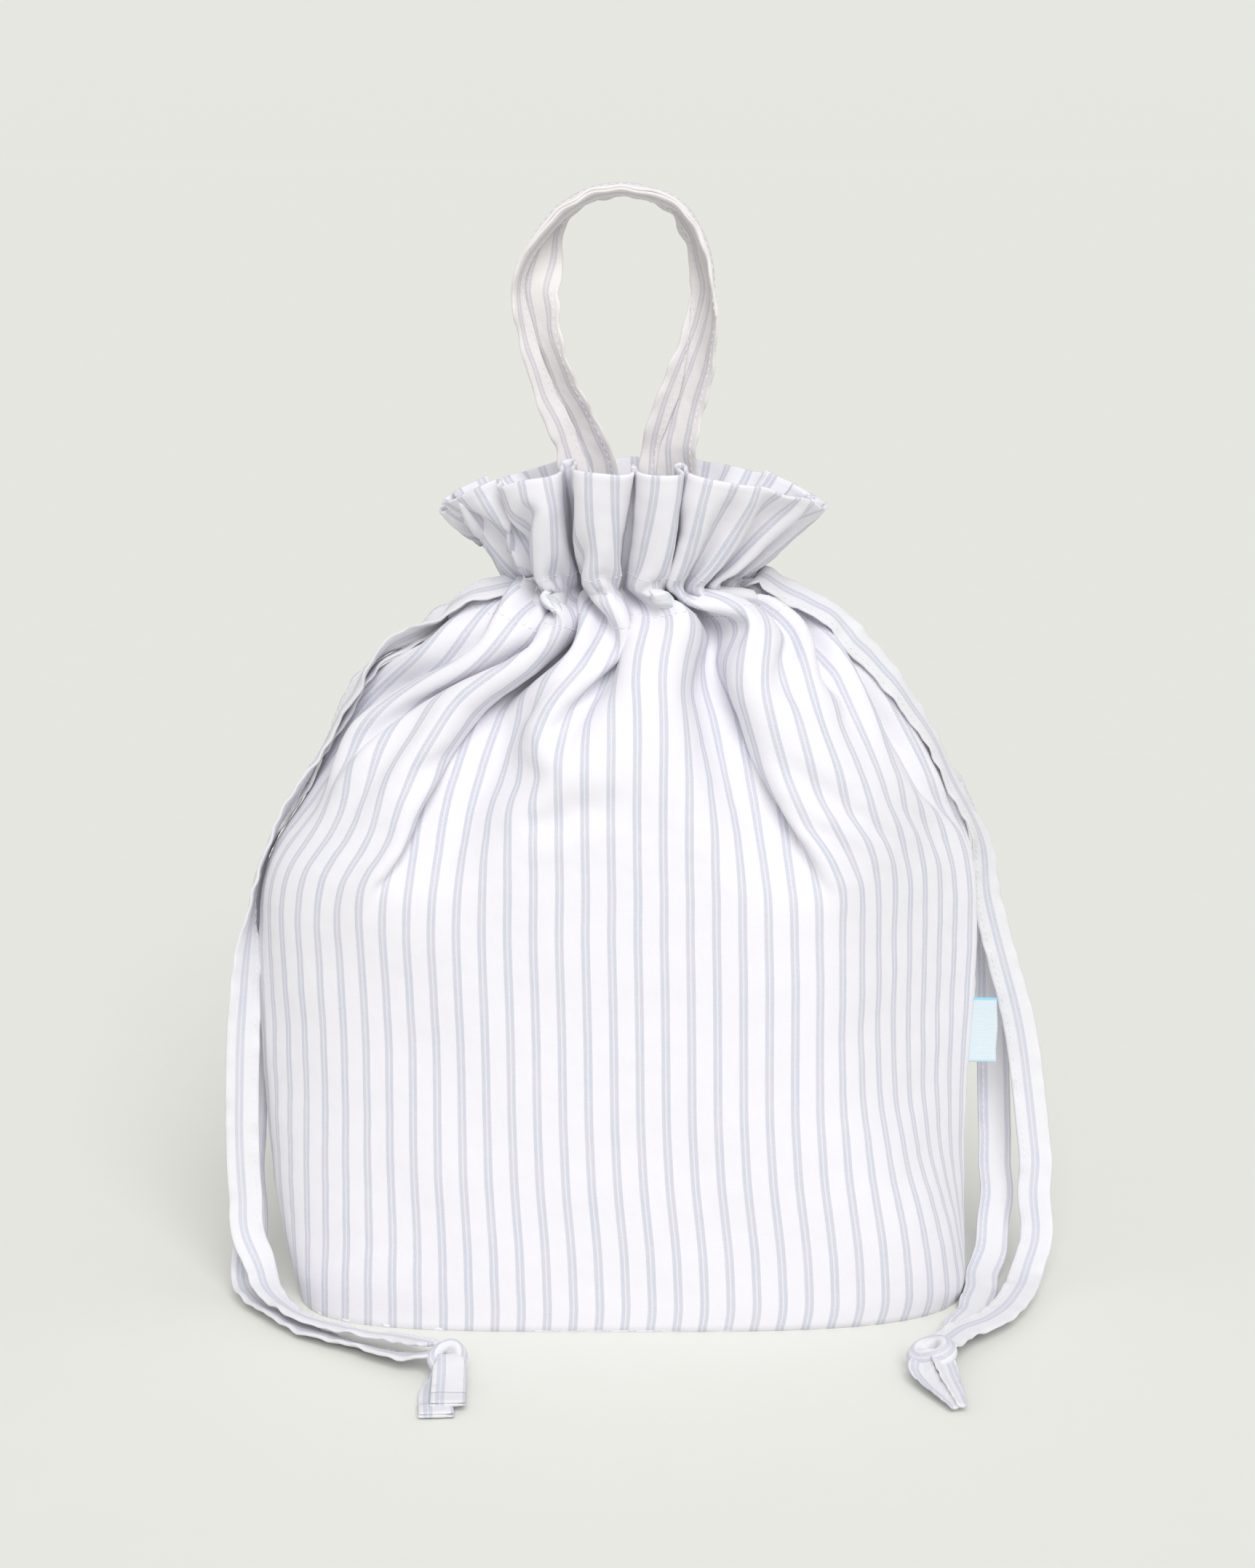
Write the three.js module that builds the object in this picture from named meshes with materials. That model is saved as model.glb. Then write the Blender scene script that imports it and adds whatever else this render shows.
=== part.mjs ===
// Soft drawstring cooler bag: a striped cotton outer with a boxed base, foam walls and a film lining,
// domed shoulders gathered into a drawstring channel, a frill above it, a looped carry handle that comes
// out of the mouth, and a pair of flat drawstring tapes on each side, knotted together on the floor.
// Millimetres. +Z up, front towards -Y, origin on the floor at the middle of the base.
import * as THREE from "three";

// ---------------------------------------------------------------- driving dimensions
const COTTON = 1.0; // outer cloth with its turned edges
const SEAM = 1.0; // thickness of a seam allowance
const FOAM = 4.0; // closed-cell foam
const FILM = 0.8; // lining film on its backing
const GAP = 0.3; // clearance between pieces that touch
const LINER_TOP = 170; // height of the insulated box
const SHOULDER_START = 172.4;
const SHOULDER_END = 272.4;
const CHANNEL_LOW = 272.8; // drawstring channel
const CHANNEL_HIGH = 286.6;
const NECK_R = 44; // outside radius of the gathered channel
const FRILL_LOW = 286.9;
const FRILL_HIGH = 326.5;
const FRILL_R = 69; // radius at the top of the frill
const FRILL_WAVES = 14;
const TAPE_W = 12.5; // drawstring tape
const TAPE_T = 1.0;
const STRAP_W = 23; // carry handle strap
const STRAP_T = 2.0;
const HANDLE_HINGE_Z = 331.3; // where the handle bends, just over the frill
const HANDLE_Y = 20;
const HANDLE_TOP = 431;
const LABEL = { z0: 88, z1: 114, reach: 10.5, t: 0.8 };

// Sections of the filled bag: height, reach to the left and right seam, half depth, then for each side
// how sharp its corner is and how much of it is as flat as the front (1 = all: a squared oval; less: a slanted side).
const SECTIONS = [
  [0, 132, 132.5, 67, 4.0, 1.0, 3.3, 1.0],
  [8, 134.5, 133.5, 68.5, 3.4, 1.0, 3.8, 0.97],
  [30, 141, 133.5, 70, 2.5, 1.0, 4.6, 0.88],
  [60, 144.8, 133.2, 71.2, 2.15, 1.0, 6.5, 0.72],
  [85, 146.3, 134.6, 71.5, 2.0, 1.0, 9.0, 0.6],
  [115, 147.3, 136.4, 71.5, 1.95, 1.0, 11.0, 0.54],
  [140, 147.3, 137, 71.5, 2.05, 1.0, 11.0, 0.54],
  [160, 146, 136.5, 71.2, 2.2, 1.0, 10.0, 0.55],
  [172, 143.5, 136.3, 71, 2.3, 1.0, 9.0, 0.57],
  [186, 136.5, 131.5, 70.5, 2.3, 1.0, 7.0, 0.62],
  [202, 127.5, 124.5, 69, 2.3, 1.0, 5.0, 0.7],
  [218, 118, 116, 66.5, 2.25, 1.0, 4.0, 0.78],
  [235, 106, 106, 63, 2.2, 1.0, 3.0, 0.86],
  [250, 94, 94, 58, 2.2, 1.0, 2.6, 0.92],
  [258, 84, 84, 55, 2.1, 1.0, 2.4, 0.96],
  [264, 72, 72, 51.5, 2.1, 1.0, 2.2, 1.0],
  [269, 59, 59, 48, 2.0, 1.0, 2.1, 1.0],
  [272.8, 46, 46, 45.3, 2.0, 1.0, 2.0, 1.0],
];

// ---------------------------------------------------------------- helpers
const V = (x, y, z) => new THREE.Vector3(x, y, z);
const DEG = Math.PI / 180;

function sectionAt(z) {
  const s = SECTIONS;
  if (z <= s[0][0]) return s[0].slice(1);
  for (let i = 1; i < s.length; i++)
    if (z <= s[i][0]) {
      const t = (z - s[i - 1][0]) / (s[i][0] - s[i - 1][0]);
      return s[i].slice(1).map((v, k) => s[i - 1][k + 1] * (1 - t) + v * t);
    }
  return s[s.length - 1].slice(1);
}

// A point of the bag's side at a bearing (0 = +X, 90 = back, 270 = front), a height, and a depth under the surface.
// The bearing is measured after the section is scaled to a square, so 45 is its corner.
function skin(deg, z, depth) {
  const [left, right, b, mL, kL, mR, kR] = sectionAt(z);
  const c = Math.cos(deg * DEG),
    s = Math.abs(Math.sin(deg * DEG));
  const [a, m, k] = c < 0 ? [left, mL, kL] : [right, mR, kR];
  const r = (s ** m + (Math.abs(c) + (1 - k) * s) ** m) ** (-1 / m);
  return V(r * c * (a - depth), r * Math.sin(deg * DEG) * (b - depth), z);
}

// Bearings between two limits, closer together at the corners.
const QUADRANT = [0, 4, 16, 30, 38, 45, 52, 60, 74, 86];
function bearings(deg0, deg1) {
  const all = [];
  for (let q = -1; q < 5; q++)
    for (const d of QUADRANT) all.push(q * 90 + d);
  return [deg0, ...all.filter((d) => d > deg0 + 0.5 && d < deg1 - 0.5), deg1];
}

function meshOf(positions, index) {
  const g = new THREE.BufferGeometry();
  g.setAttribute("position", new THREE.Float32BufferAttribute(positions, 3));
  g.setIndex(index);
  g.computeVertexNormals();
  return g;
}

function volumeOf(p, index) {
  let v = 0;
  for (let i = 0; i < index.length; i += 3) {
    const [a, b, c] = [0, 1, 2].map((k) =>
      V(p[3 * index[i + k]], p[3 * index[i + k] + 1], p[3 * index[i + k] + 2]),
    );
    v += a.dot(b.cross(c)) / 6;
  }
  return v;
}

// A closed solid from two grids of points, one on each face of a sheet.
function slab(low, high) {
  const nu = low.length,
    nv = low[0].length;
  const p = [],
    index = [];
  for (const grid of [low, high])
    for (const row of grid) for (const q of row) p.push(q.x, q.y, q.z);
  const at = (side, i, j) => side * nu * nv + i * nv + j;
  const quad = (a, b, c, d) => index.push(a, b, c, a, c, d);
  for (let i = 0; i < nu - 1; i++)
    for (let j = 0; j < nv - 1; j++) {
      quad(at(0, i, j), at(0, i, j + 1), at(0, i + 1, j + 1), at(0, i + 1, j));
      quad(at(1, i, j), at(1, i + 1, j), at(1, i + 1, j + 1), at(1, i, j + 1));
    }
  for (let i = 0; i < nu - 1; i++) {
    quad(at(0, i, 0), at(0, i + 1, 0), at(1, i + 1, 0), at(1, i, 0));
    quad(at(0, i + 1, nv - 1), at(0, i, nv - 1), at(1, i, nv - 1), at(1, i + 1, nv - 1));
  }
  for (let j = 0; j < nv - 1; j++) {
    quad(at(0, 0, j + 1), at(0, 0, j), at(1, 0, j), at(1, 0, j + 1));
    quad(at(0, nu - 1, j), at(0, nu - 1, j + 1), at(1, nu - 1, j + 1), at(1, nu - 1, j));
  }
  if (volumeOf(p, index) < 0)
    for (let i = 0; i < index.length; i += 3)
      [index[i + 1], index[i + 2]] = [index[i + 2], index[i + 1]];
  return meshOf(p, index);
}

const steps = (a, b, n) =>
  Array.from({ length: n + 1 }, (_, i) => a + ((b - a) * i) / n);

// A piece of the bag's wall between two depths.
function wall(deg0, deg1, heights, outer, inner) {
  const grid = (depth) =>
    bearings(deg0, deg1).map((d) => heights.map((z) => skin(d, z, depth)));
  return slab(grid(inner), grid(outer));
}

// A flat closed plate with the bag's own outline at height z, between z0 and z1.
function plate(z, depth, z0, z1) {
  const shape = new THREE.Shape(
    bearings(0, 360)
      .slice(0, -1)
      .map((d) => {
        const q = skin(d, z, depth);
        return new THREE.Vector2(q.x, q.y);
      }),
  );
  const g = new THREE.ExtrudeGeometry(shape, {
    depth: z1 - z0,
    bevelEnabled: false,
    steps: 1,
  });
  g.translate(0, 0, z0);
  return g;
}

// Part of an upright ring.
function ring(deg0, deg1, n, rIn, rOut, z0, z1) {
  const grid = (r) =>
    steps(deg0, deg1, n).map((d) =>
      [z0, z1].map((z) => V(r * Math.cos(d * DEG), r * Math.sin(d * DEG), z)),
    );
  return slab(grid(rIn), grid(rOut));
}

// A flat tape swept along points, each with the direction its width lies in; the section has eight sides.
function tape(path, width, thick) {
  const curve = new THREE.CatmullRomCurve3(path.map((q) => q[0]), false, "centripetal");
  const n = path.length - 1;
  const bevel = thick * 0.5;
  const section = [
    [1, 0.25], [0.9, 0.5], [-0.9, 0.5], [-1, 0.25],
    [-1, -0.25], [-0.9, -0.5], [0.9, -0.5], [1, -0.25],
  ].map(([u, v]) => [Math.sign(u) * (Math.abs(u) > 0.95 ? width / 2 : width / 2 - bevel), v * thick]);
  const p = [],
    index = [];
  for (let k = 0; k <= n; k++) {
    const t = k / n,
      s = t * (path.length - 1),
      i = Math.min(Math.floor(s), path.length - 2),
      f = s - i;
    const c = curve.getPoint(t);
    const e = 1e-3;
    const tangent = curve
      .getPoint(Math.min(1, t + e))
      .sub(curve.getPoint(Math.max(0, t - e)))
      .normalize();
    const w = path[i][1].clone().multiplyScalar(1 - f).addScaledVector(path[i + 1][1], f);
    w.addScaledVector(tangent, -w.dot(tangent)).normalize();
    const m = V(0, 0, 0).crossVectors(tangent, w);
    for (const [u, v] of section) {
      const q = c.clone().addScaledVector(w, u).addScaledVector(m, v);
      p.push(q.x, q.y, q.z);
    }
  }
  const N = section.length;
  for (let k = 0; k < n; k++)
    for (let j = 0; j < N; j++) {
      const a = k * N + j,
        b = k * N + ((j + 1) % N),
        c = a + N,
        d = b + N;
      index.push(a, c, b, b, c, d);
    }
  for (let j = 1; j < N - 1; j++) {
    index.push(0, j, j + 1);
    index.push(n * N, n * N + j + 1, n * N + j);
  }
  if (volumeOf(p, index) < 0)
    for (let i = 0; i < index.length; i += 3)
      [index[i + 1], index[i + 2]] = [index[i + 2], index[i + 1]];
  return meshOf(p, index);
}

const bag = new THREE.Group();
const COLOURS = {
  cotton: [0xe6e7ee, 0.92],
  tape: [0xdfe1ea, 0.9],
  foam: [0xf2f2ee, 0.95],
  film: [0xc9ccd0, 0.35],
  binding: [0xd3d6e0, 0.9],
  label: [0xe9eef6, 0.7],
  thread: [0xf0f0f2, 0.8],
};
function add(name, geometry, look, group = bag) {
  const [color, roughness] = COLOURS[look];
  const mesh = new THREE.Mesh(
    geometry,
    new THREE.MeshStandardMaterial({
      color,
      roughness,
      metalness: look === "film" ? 0.6 : 0,
    }),
  );
  mesh.name = name;
  group.add(mesh);
  return mesh;
}

// ---------------------------------------------------------------- outer cotton, lower part
const LEVELS = [8, 30, 60, 85, 115, 140, 160];
const FRONT_HALF = [180.13, 359.87], // from side seam to side seam
  BACK_HALF = [0.13, 179.87];
const WALL_HEIGHTS = [COTTON + GAP, ...LEVELS, SHOULDER_START - 0.4];
add("outer_base_panel", plate(0, 0, 0, COTTON), "cotton");
add("outer_front_panel", wall(...FRONT_HALF, WALL_HEIGHTS, 0, COTTON), "cotton");
add("outer_back_panel", wall(...BACK_HALF, WALL_HEIGHTS, 0, COTTON), "cotton");
// the turned-in edges of the two side seams, between the cotton and the foam
const SEAM_OUT = COTTON + GAP,
  SEAM_IN = SEAM_OUT + SEAM;
const SEAM_HEIGHTS = [...LEVELS, 168];
add("side_seam_right", wall(-4, 4, SEAM_HEIGHTS, SEAM_OUT, SEAM_IN), "binding");
add("side_seam_left", wall(176, 184, SEAM_HEIGHTS, SEAM_OUT, SEAM_IN), "binding");

// ---------------------------------------------------------------- insulation and lining
const FOAM_OUT = SEAM_IN + GAP,
  FOAM_IN = FOAM_OUT + FOAM,
  FILM_OUT = FOAM_IN + GAP,
  FILM_IN = FILM_OUT + FILM;
const FOAM_BASE_TOP = COTTON + GAP + FOAM;
const FOAM_HEIGHTS = [FOAM_BASE_TOP + GAP, ...LEVELS, LINER_TOP];
add("foam_base", plate(1.3, FOAM_OUT, COTTON + GAP, FOAM_BASE_TOP), "foam");
add("foam_front", wall(225.1, 314.9, FOAM_HEIGHTS, FOAM_OUT, FOAM_IN), "foam");
add("foam_back", wall(45.1, 134.9, FOAM_HEIGHTS, FOAM_OUT, FOAM_IN), "foam");
add("foam_right", wall(-44.9, 44.9, FOAM_HEIGHTS, FOAM_OUT, FOAM_IN), "foam");
add("foam_left", wall(135.1, 224.9, FOAM_HEIGHTS, FOAM_OUT, FOAM_IN), "foam");
const FILM_BASE_TOP = FOAM_BASE_TOP + GAP + FILM;
const FILM_HEIGHTS = [FILM_BASE_TOP + GAP, ...LEVELS, LINER_TOP];
add("lining_base", plate(5.4, FILM_OUT, FOAM_BASE_TOP + GAP, FILM_BASE_TOP), "film");
add("lining_front", wall(...FRONT_HALF, FILM_HEIGHTS, FILM_OUT, FILM_IN), "film");
add("lining_back", wall(...BACK_HALF, FILM_HEIGHTS, FILM_OUT, FILM_IN), "film");
// binding tape folded over the raw top edge of foam and film
const BINDING = [LINER_TOP + GAP, LINER_TOP + GAP + 1.4];
add("liner_binding_front", wall(...FRONT_HALF, BINDING, FOAM_OUT, FILM_IN), "binding");
add("liner_binding_back", wall(...BACK_HALF, BINDING, FOAM_OUT, FILM_IN), "binding");

// ---------------------------------------------------------------- unlined cotton above the box
const SHOULDER_HEIGHTS = [SHOULDER_START, 186, 202, 218, 235, 250, 258, 264, 269, SHOULDER_END];
const SHOULDER_T = 1.6; // gathered cloth is thicker than the flat cloth
add("shoulder_front", wall(180.2, 359.8, SHOULDER_HEIGHTS, 0, SHOULDER_T), "cotton");
add("shoulder_back", wall(0.2, 179.8, SHOULDER_HEIGHTS, 0, SHOULDER_T), "cotton");

// ---------------------------------------------------------------- drawstring channel
const FRONT = [180.4, 359.6],
  BACK = [0.4, 179.6];
const R = { outer: NECK_R, tapeL: NECK_R - 1.1 - GAP, tapeR: 0, facing: 0 };
R.tapeR = R.tapeL - TAPE_T - GAP;
R.facing = R.tapeR - TAPE_T - GAP;
for (const [side, span] of [["front", FRONT], ["back", BACK]]) {
  add("channel_" + side, ring(...span, 14, R.outer - 1.1, R.outer, CHANNEL_LOW, CHANNEL_HIGH), "cotton");
  add("channel_facing_" + side, ring(...span, 14, R.facing - 1.1, R.facing, CHANNEL_LOW, CHANNEL_HIGH), "cotton");
}
// both tapes run the whole way round inside the channel
const RUN = [CHANNEL_LOW + 0.6, CHANNEL_LOW + 0.6 + TAPE_W];
for (const [side, span] of [["front", FRONT], ["back", BACK]]) {
  add("left_tape_run_" + side, ring(...span, 14, R.tapeL - TAPE_T, R.tapeL, ...RUN), "tape");
  add("right_tape_run_" + side, ring(...span, 14, R.tapeR - TAPE_T, R.tapeR, ...RUN), "tape");
}

// ---------------------------------------------------------------- frill
function frill(deg0, deg1) {
  const heights = steps(0, 1, 3);
  const grid = (out) =>
    steps(deg0, deg1, 28).map((d) =>
      heights.map((t) => {
        const r =
          NECK_R - 1.3 + (FRILL_R - NECK_R) * t ** 0.8 +
          4.5 * t * Math.cos(FRILL_WAVES * (d - 270) * DEG) + (out ? 1.4 : 0);
        return V(r * Math.cos(d * DEG), r * Math.sin(d * DEG), FRILL_LOW + (FRILL_HIGH - FRILL_LOW) * t);
      }),
    );
  return slab(grid(false), grid(true));
}
add("frill_front", frill(...FRONT), "cotton");
add("frill_back", frill(...BACK), "cotton");

// ---------------------------------------------------------------- handle
// The ends are sewn flat inside the back of the channel, side by side, and each turns to lie flat behind the mouth.
const ANCHOR_R = R.facing - 1.1 - GAP - STRAP_T / 2;
const LEG = { left: { x: -18, mid: 110 }, right: { x: 14, mid: 69.5 } };
function anchor(leg) {
  const half = (STRAP_W / 2 / ANCHOR_R / DEG);
  const rows = [
    [264, 0], [273, 0], [286.5, 0], [300, 0.45], [315, 0.85], [HANDLE_HINGE_Z - 1.6, 1],
  ];
  const across = steps(-1, 1, 6);
  const grid = (sign) =>
    across.map((c) =>
      rows.map(([z, f]) => {
        const d = (leg.mid - c * half) * DEG;
        const r = ANCHOR_R + (sign * STRAP_T) / 2;
        const bent = V(r * Math.cos(d), r * Math.sin(d), z);
        const flat = V(leg.x + (c * STRAP_W) / 2, HANDLE_Y + (sign * STRAP_T) / 2, z);
        return bent.lerp(flat, f);
      }),
    );
  return slab(grid(-1), grid(1));
}
add("handle_end_left", anchor(LEG.left), "cotton");
add("handle_end_right", anchor(LEG.right), "cotton");
const TACK_R = ANCHOR_R - STRAP_T / 2 - GAP;
const TACK = 11; // half angle of a row of bar tack stitching
add("handle_tack_left", ring(LEG.left.mid - TACK, LEG.left.mid + TACK, 4, TACK_R - 0.6, TACK_R, 266, 271), "thread");
add("handle_tack_right", ring(LEG.right.mid - TACK, LEG.right.mid + TACK, 4, TACK_R - 0.6, TACK_R, 266, 271), "thread");

// the loop: flat to the front at its two feet, turned to lie across the hand at the top
const loopPath = [
  [-18, 332.6, 0], [-18.1, 334.4, 0], [-20.9, 338.4, 3], [-25.6, 344, 9], [-30.8, 353, 20], [-34.8, 364.5, 34], [-37.6, 378, 47], [-38.6, 391, 57],
  [-36, 407, 72], [-27.5, 421, 83], [-14, HANDLE_TOP - 1, 88], [-5, HANDLE_TOP, 90], [5, HANDLE_TOP - 1.5, 92],
  [17, 424, 96], [25.2, 409, 106], [27.6, 391, 118], [26.3, 377, 135], [23.2, 363, 152], [19.8, 351, 166], [16.4, 342, 175], [14.8, 337, 178], [14.05, 334.4, 180], [14, 332.6, 180],
].map(([x, z, turn]) => [V(x, HANDLE_Y, z), V(Math.cos(turn * DEG), Math.sin(turn * DEG), 0)]);
add("handle_strap", tape(loopPath, STRAP_W, STRAP_T), "cotton");

// ---------------------------------------------------------------- free drawstrings
// Each point: position of the tape's middle, then the direction its width lies in.
const T = (x, y, z, wx, wy, wz = 0) => [V(x, y, z), V(wx, wy, wz)];
const STRANDS = {
  left_strand_front: [
    T(-45.6, -7, 279, 0, 1), T(-54, -8.5, 278.4, 0, 1), T(-66, -9.5, 274.6, 0, 1), T(-83, -10, 264, 0, 1),
    T(-97, -10, 251.6, 0, 1), T(-109.5, -10, 236.6, 0, 1), T(-121, -10, 219, 0, 1), T(-130.5, -10, 201, 0, 1),
    T(-139.6, -10, 184, 0.03, 1), T(-145.9, -10.5, 172, 0.03, 1), T(-148, -11, 161, 0.1, 1), T(-151.5, -13, 139, 0.6, 0.8), T(-153.5, -16, 110, 0.95, 0.4),
    T(-154, -19, 78, 1, 0.2), T(-153.5, -22, 48, 1, 0.1), T(-151.5, -26, 22, 1, 0.05), T(-153, -32, 6.5, 1, 0.2),
    T(-149, -44, 0.9, 0.95, 0.3), T(-138.5, -57, 0.9, 0.82, 0.58), T(-122, -73, 0.9, 0.65, 0.76), T(-102, -91, 0.9, 0.55, 0.83),
    T(-90.5, -102, 2.2, 0.5, 0.86), T(-81, -109, 4.8, 0.4, 0.9),
  ],
  left_strand_back: [
    T(-45.6, 7, 279, 0, 1), T(-54, 8.5, 278.4, 0, 1), T(-66, 9.5, 274.6, 0, 1), T(-83, 10, 264, 0, 1),
    T(-97, 10, 251.6, 0, 1), T(-109.5, 10, 236.6, 0, 1), T(-121, 10, 219, 0, 1), T(-130.5, 10, 201, 0, 1),
    T(-139.6, 10, 184, 0.03, 1), T(-145.9, 9.5, 172, 0.03, 1), T(-148, 9, 161, 0.1, 1), T(-151.5, 7, 139, 0.6, 0.8), T(-153.2, 4, 110, 0.95, 0.3),
    T(-153, 1, 78, 1, 0.2), T(-152.4, -2, 48, 1, 0.1), T(-150.4, -6, 22, 1, 0.05), T(-146.5, -12, 6.5, 1, 0.2),
    T(-142, -23, 1.0, 1, 0.3), T(-137.6, -37.8, 2.4, 0.92, 0.4), T(-130.3, -51.8, 2.6, 0.78, 0.63), T(-119, -64, 2.6, 0.62, 0.78),
    T(-103, -76, 2.8, 0.55, 0.84), T(-90, -87.5, 5.8, 0.5, 0.86), T(-80, -97.6, 9.2, 0.5, 0.86),
  ],
  right_strand_front: [
    T(45.6, -3, 281, 0, 1), T(57, -3, 284, 0, 1), T(70, -3, 280.5, 0, 1), T(84, -3, 269, 0, 1),
    T(98, -2.5, 255.5, 0, 1), T(110, -1.5, 241.5, 0, 1), T(120, 0, 225.5, 0, 1), T(128, 3, 207, 0.05, 1),
    T(135.5, 8, 184, 0.25, 1), T(145, 14, 157, 0.6, 0.8), T(153, 17, 128, 0.9, 0.4), T(158.5, 16, 100, 1, 0.1),
    T(161.5, 10, 68, 1, -0.1), T(162.5, 2, 36, 1, -0.15), T(161.8, -8, 12, 1, -0.2), T(159.5, -20, 2.2, 0.95, -0.3),
    T(155, -34, 0.9, 0.9, -0.4), T(149.5, -49, 0.9, 0.85, -0.5), T(142, -62.5, 0.9, 0.8, -0.6), T(132.5, -77.5, 0.9, 0.8, -0.6), T(126, -90, 2.2, 0.8, -0.6), T(120.8, -98.8, 4.8, 0.75, -0.66),
  ],
  right_strand_back: [
    T(45.6, 12, 280, 0, 1), T(56, 13, 279.2, 0, 1), T(68, 14, 274.6, 0, 1), T(84, 15, 263.2, 0, 1),
    T(98, 16, 250, 0, 1), T(110, 17, 236, 0, 1), T(120, 19, 219.5, 0, 1), T(129, 22, 201.5, 0.05, 1),
    T(137.8, 25, 183, 0.1, 1), T(141.8, 26.5, 171, 0.2, 1), T(143.2, 28, 159, 0.5, 0.85), T(144.5, 29.5, 132, 0.9, 0.4), T(145.5, 29, 104, 1, 0.1),
    T(146, 26, 74, 1, 0), T(146, 20, 46, 1, 0), T(145.5, 11, 20, 1, 0), T(144, 1, 5, 1, -0.05),
    T(141.2, -14, 1.0, 1, -0.15), T(137, -32, 1.0, 0.95, -0.25), T(132.5, -49, 2.4, 0.92, -0.38), T(127, -65, 5.0, 0.9, -0.42), T(121, -81, 7.4, 0.88, -0.45), T(115.8, -94.6, 9.4, 0.88, -0.45),
  ],
};
for (const [name, path] of Object.entries(STRANDS))
  add(name, tape(path, TAPE_W, TAPE_T), "tape");

// overhand knots, each tying its pair together, and the flat ends beyond them
const KNOTS = {
  left_knot: { at: [-69, -111.5, 7.2], size: [11, 10.5, 6.8], turn: -15 },
  right_knot: { at: [112, -108, 7.2], size: [10.5, 10.5, 6.8], turn: 35 },
};
for (const [name, k] of Object.entries(KNOTS)) {
  const g = new THREE.SphereGeometry(1, 12, 8);
  g.deleteAttribute("uv");
  g.scale(...k.size);
  g.rotateZ(k.turn * DEG);
  add(name, g, "tape").position.set(...k.at);
}
const TAILS = {
  left_tail_lower: [T(-71, -122.8, 4.2, 1, 0), T(-71.8, -127.5, 1.9, 1, 0), T(-71.5, -134, 0.9, 1, 0), T(-70.2, -141.5, 0.9, 1, -0.1), T(-70, -149, 0.9, 1, -0.1)],
  left_tail_upper: [T(-67, -122.9, 7.4, 1, 0), T(-66, -128.5, 4.9, 1, 0), T(-65.6, -135, 2.6, 1, 0), T(-66, -141, 2.4, 1, 0.1), T(-65.5, -147, 2.4, 1, 0.1)],
  right_tail_lower: [T(109.5, -119.4, 4.2, 1, 0.1), T(109.8, -125, 1.9, 1, 0.1), T(111.5, -131.5, 0.9, 1, 0.15), T(114.2, -138.5, 0.9, 1, 0.15), T(117, -145, 0.9, 1, 0.15)],
  right_tail_upper: [T(113.5, -119.4, 7.4, 1, 0.1), T(114.8, -125.5, 4.9, 1, 0.1), T(116, -132, 2.6, 1, 0.1), T(116.8, -137.5, 2.4, 1, 0.2), T(117, -143, 2.4, 1, 0.2)],
};
for (const [name, path] of Object.entries(TAILS))
  add(name, tape(path, TAPE_W, TAPE_T), "tape");

// ---------------------------------------------------------------- folded label in the right side seam
{
  const x0 = skin(0, LABEL.z1, 0).x + GAP;
  const g = new THREE.BoxGeometry(LABEL.reach, LABEL.t, LABEL.z1 - LABEL.z0);
  add("side_label", g, "label").position.set(x0 + LABEL.reach / 2, 0, (LABEL.z0 + LABEL.z1) / 2);
}

export default bag;
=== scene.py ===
"""The look of the drawstring cooler bag: gathered striped cotton, cords, carry strap, lining."""

import math
import time

import bpy
import numpy as np
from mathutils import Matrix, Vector


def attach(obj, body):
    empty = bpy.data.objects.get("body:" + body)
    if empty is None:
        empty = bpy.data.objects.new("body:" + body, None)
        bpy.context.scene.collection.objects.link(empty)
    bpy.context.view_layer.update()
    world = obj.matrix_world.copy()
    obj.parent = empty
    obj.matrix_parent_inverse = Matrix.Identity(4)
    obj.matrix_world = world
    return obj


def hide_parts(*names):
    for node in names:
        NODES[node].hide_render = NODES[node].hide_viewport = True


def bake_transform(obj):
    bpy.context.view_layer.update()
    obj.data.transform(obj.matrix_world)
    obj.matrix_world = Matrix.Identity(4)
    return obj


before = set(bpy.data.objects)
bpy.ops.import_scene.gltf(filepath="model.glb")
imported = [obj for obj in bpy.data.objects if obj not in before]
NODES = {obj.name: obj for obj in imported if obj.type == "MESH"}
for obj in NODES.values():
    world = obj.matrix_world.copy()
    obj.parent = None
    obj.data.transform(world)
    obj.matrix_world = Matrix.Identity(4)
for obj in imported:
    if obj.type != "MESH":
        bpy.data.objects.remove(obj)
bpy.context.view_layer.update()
scene = bpy.context.scene
MM = 0.001
TAU = 2 * math.pi
start_time = time.time()

# ------------------------------------------------------------------ camera
camera_data = bpy.data.cameras.new("camera")
camera = bpy.data.objects.new("camera", camera_data)
scene.collection.objects.link(camera)
camera.location = (0, -1.230, 0.450)
camera.rotation_euler = (math.radians(90 - 11), 0, 0)
camera_data.sensor_width = 36
camera_data.lens = 4400 * 36 / 2156
camera_data.shift_x = -6.5 / 2156
camera_data.shift_y = -35 / 2156
scene.camera = camera


# ------------------------------------------------------------------ small tools
def unit(v):
    v = np.asarray(v, float)
    return v / np.maximum(np.linalg.norm(v, axis=-1, keepdims=True), 1e-9)


def smooth(x, lo, hi):
    t = np.clip((np.asarray(x, float) - lo) / (hi - lo), 0, 1)
    return t * t * (3 - 2 * t)


def waves(seed, x, y, count, low, high):
    """Gentle irregular waves: a sum of sines with lengths between low and high."""
    rng = np.random.default_rng(seed)
    total = np.zeros(np.broadcast(x, y).shape)
    for _ in range(count):
        length = rng.uniform(low, high)
        turn = rng.uniform(0, math.pi)
        total += np.sin((x * math.cos(turn) + y * math.sin(turn)) * TAU / length + rng.uniform(0, TAU))
    return total / math.sqrt(count)


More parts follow.
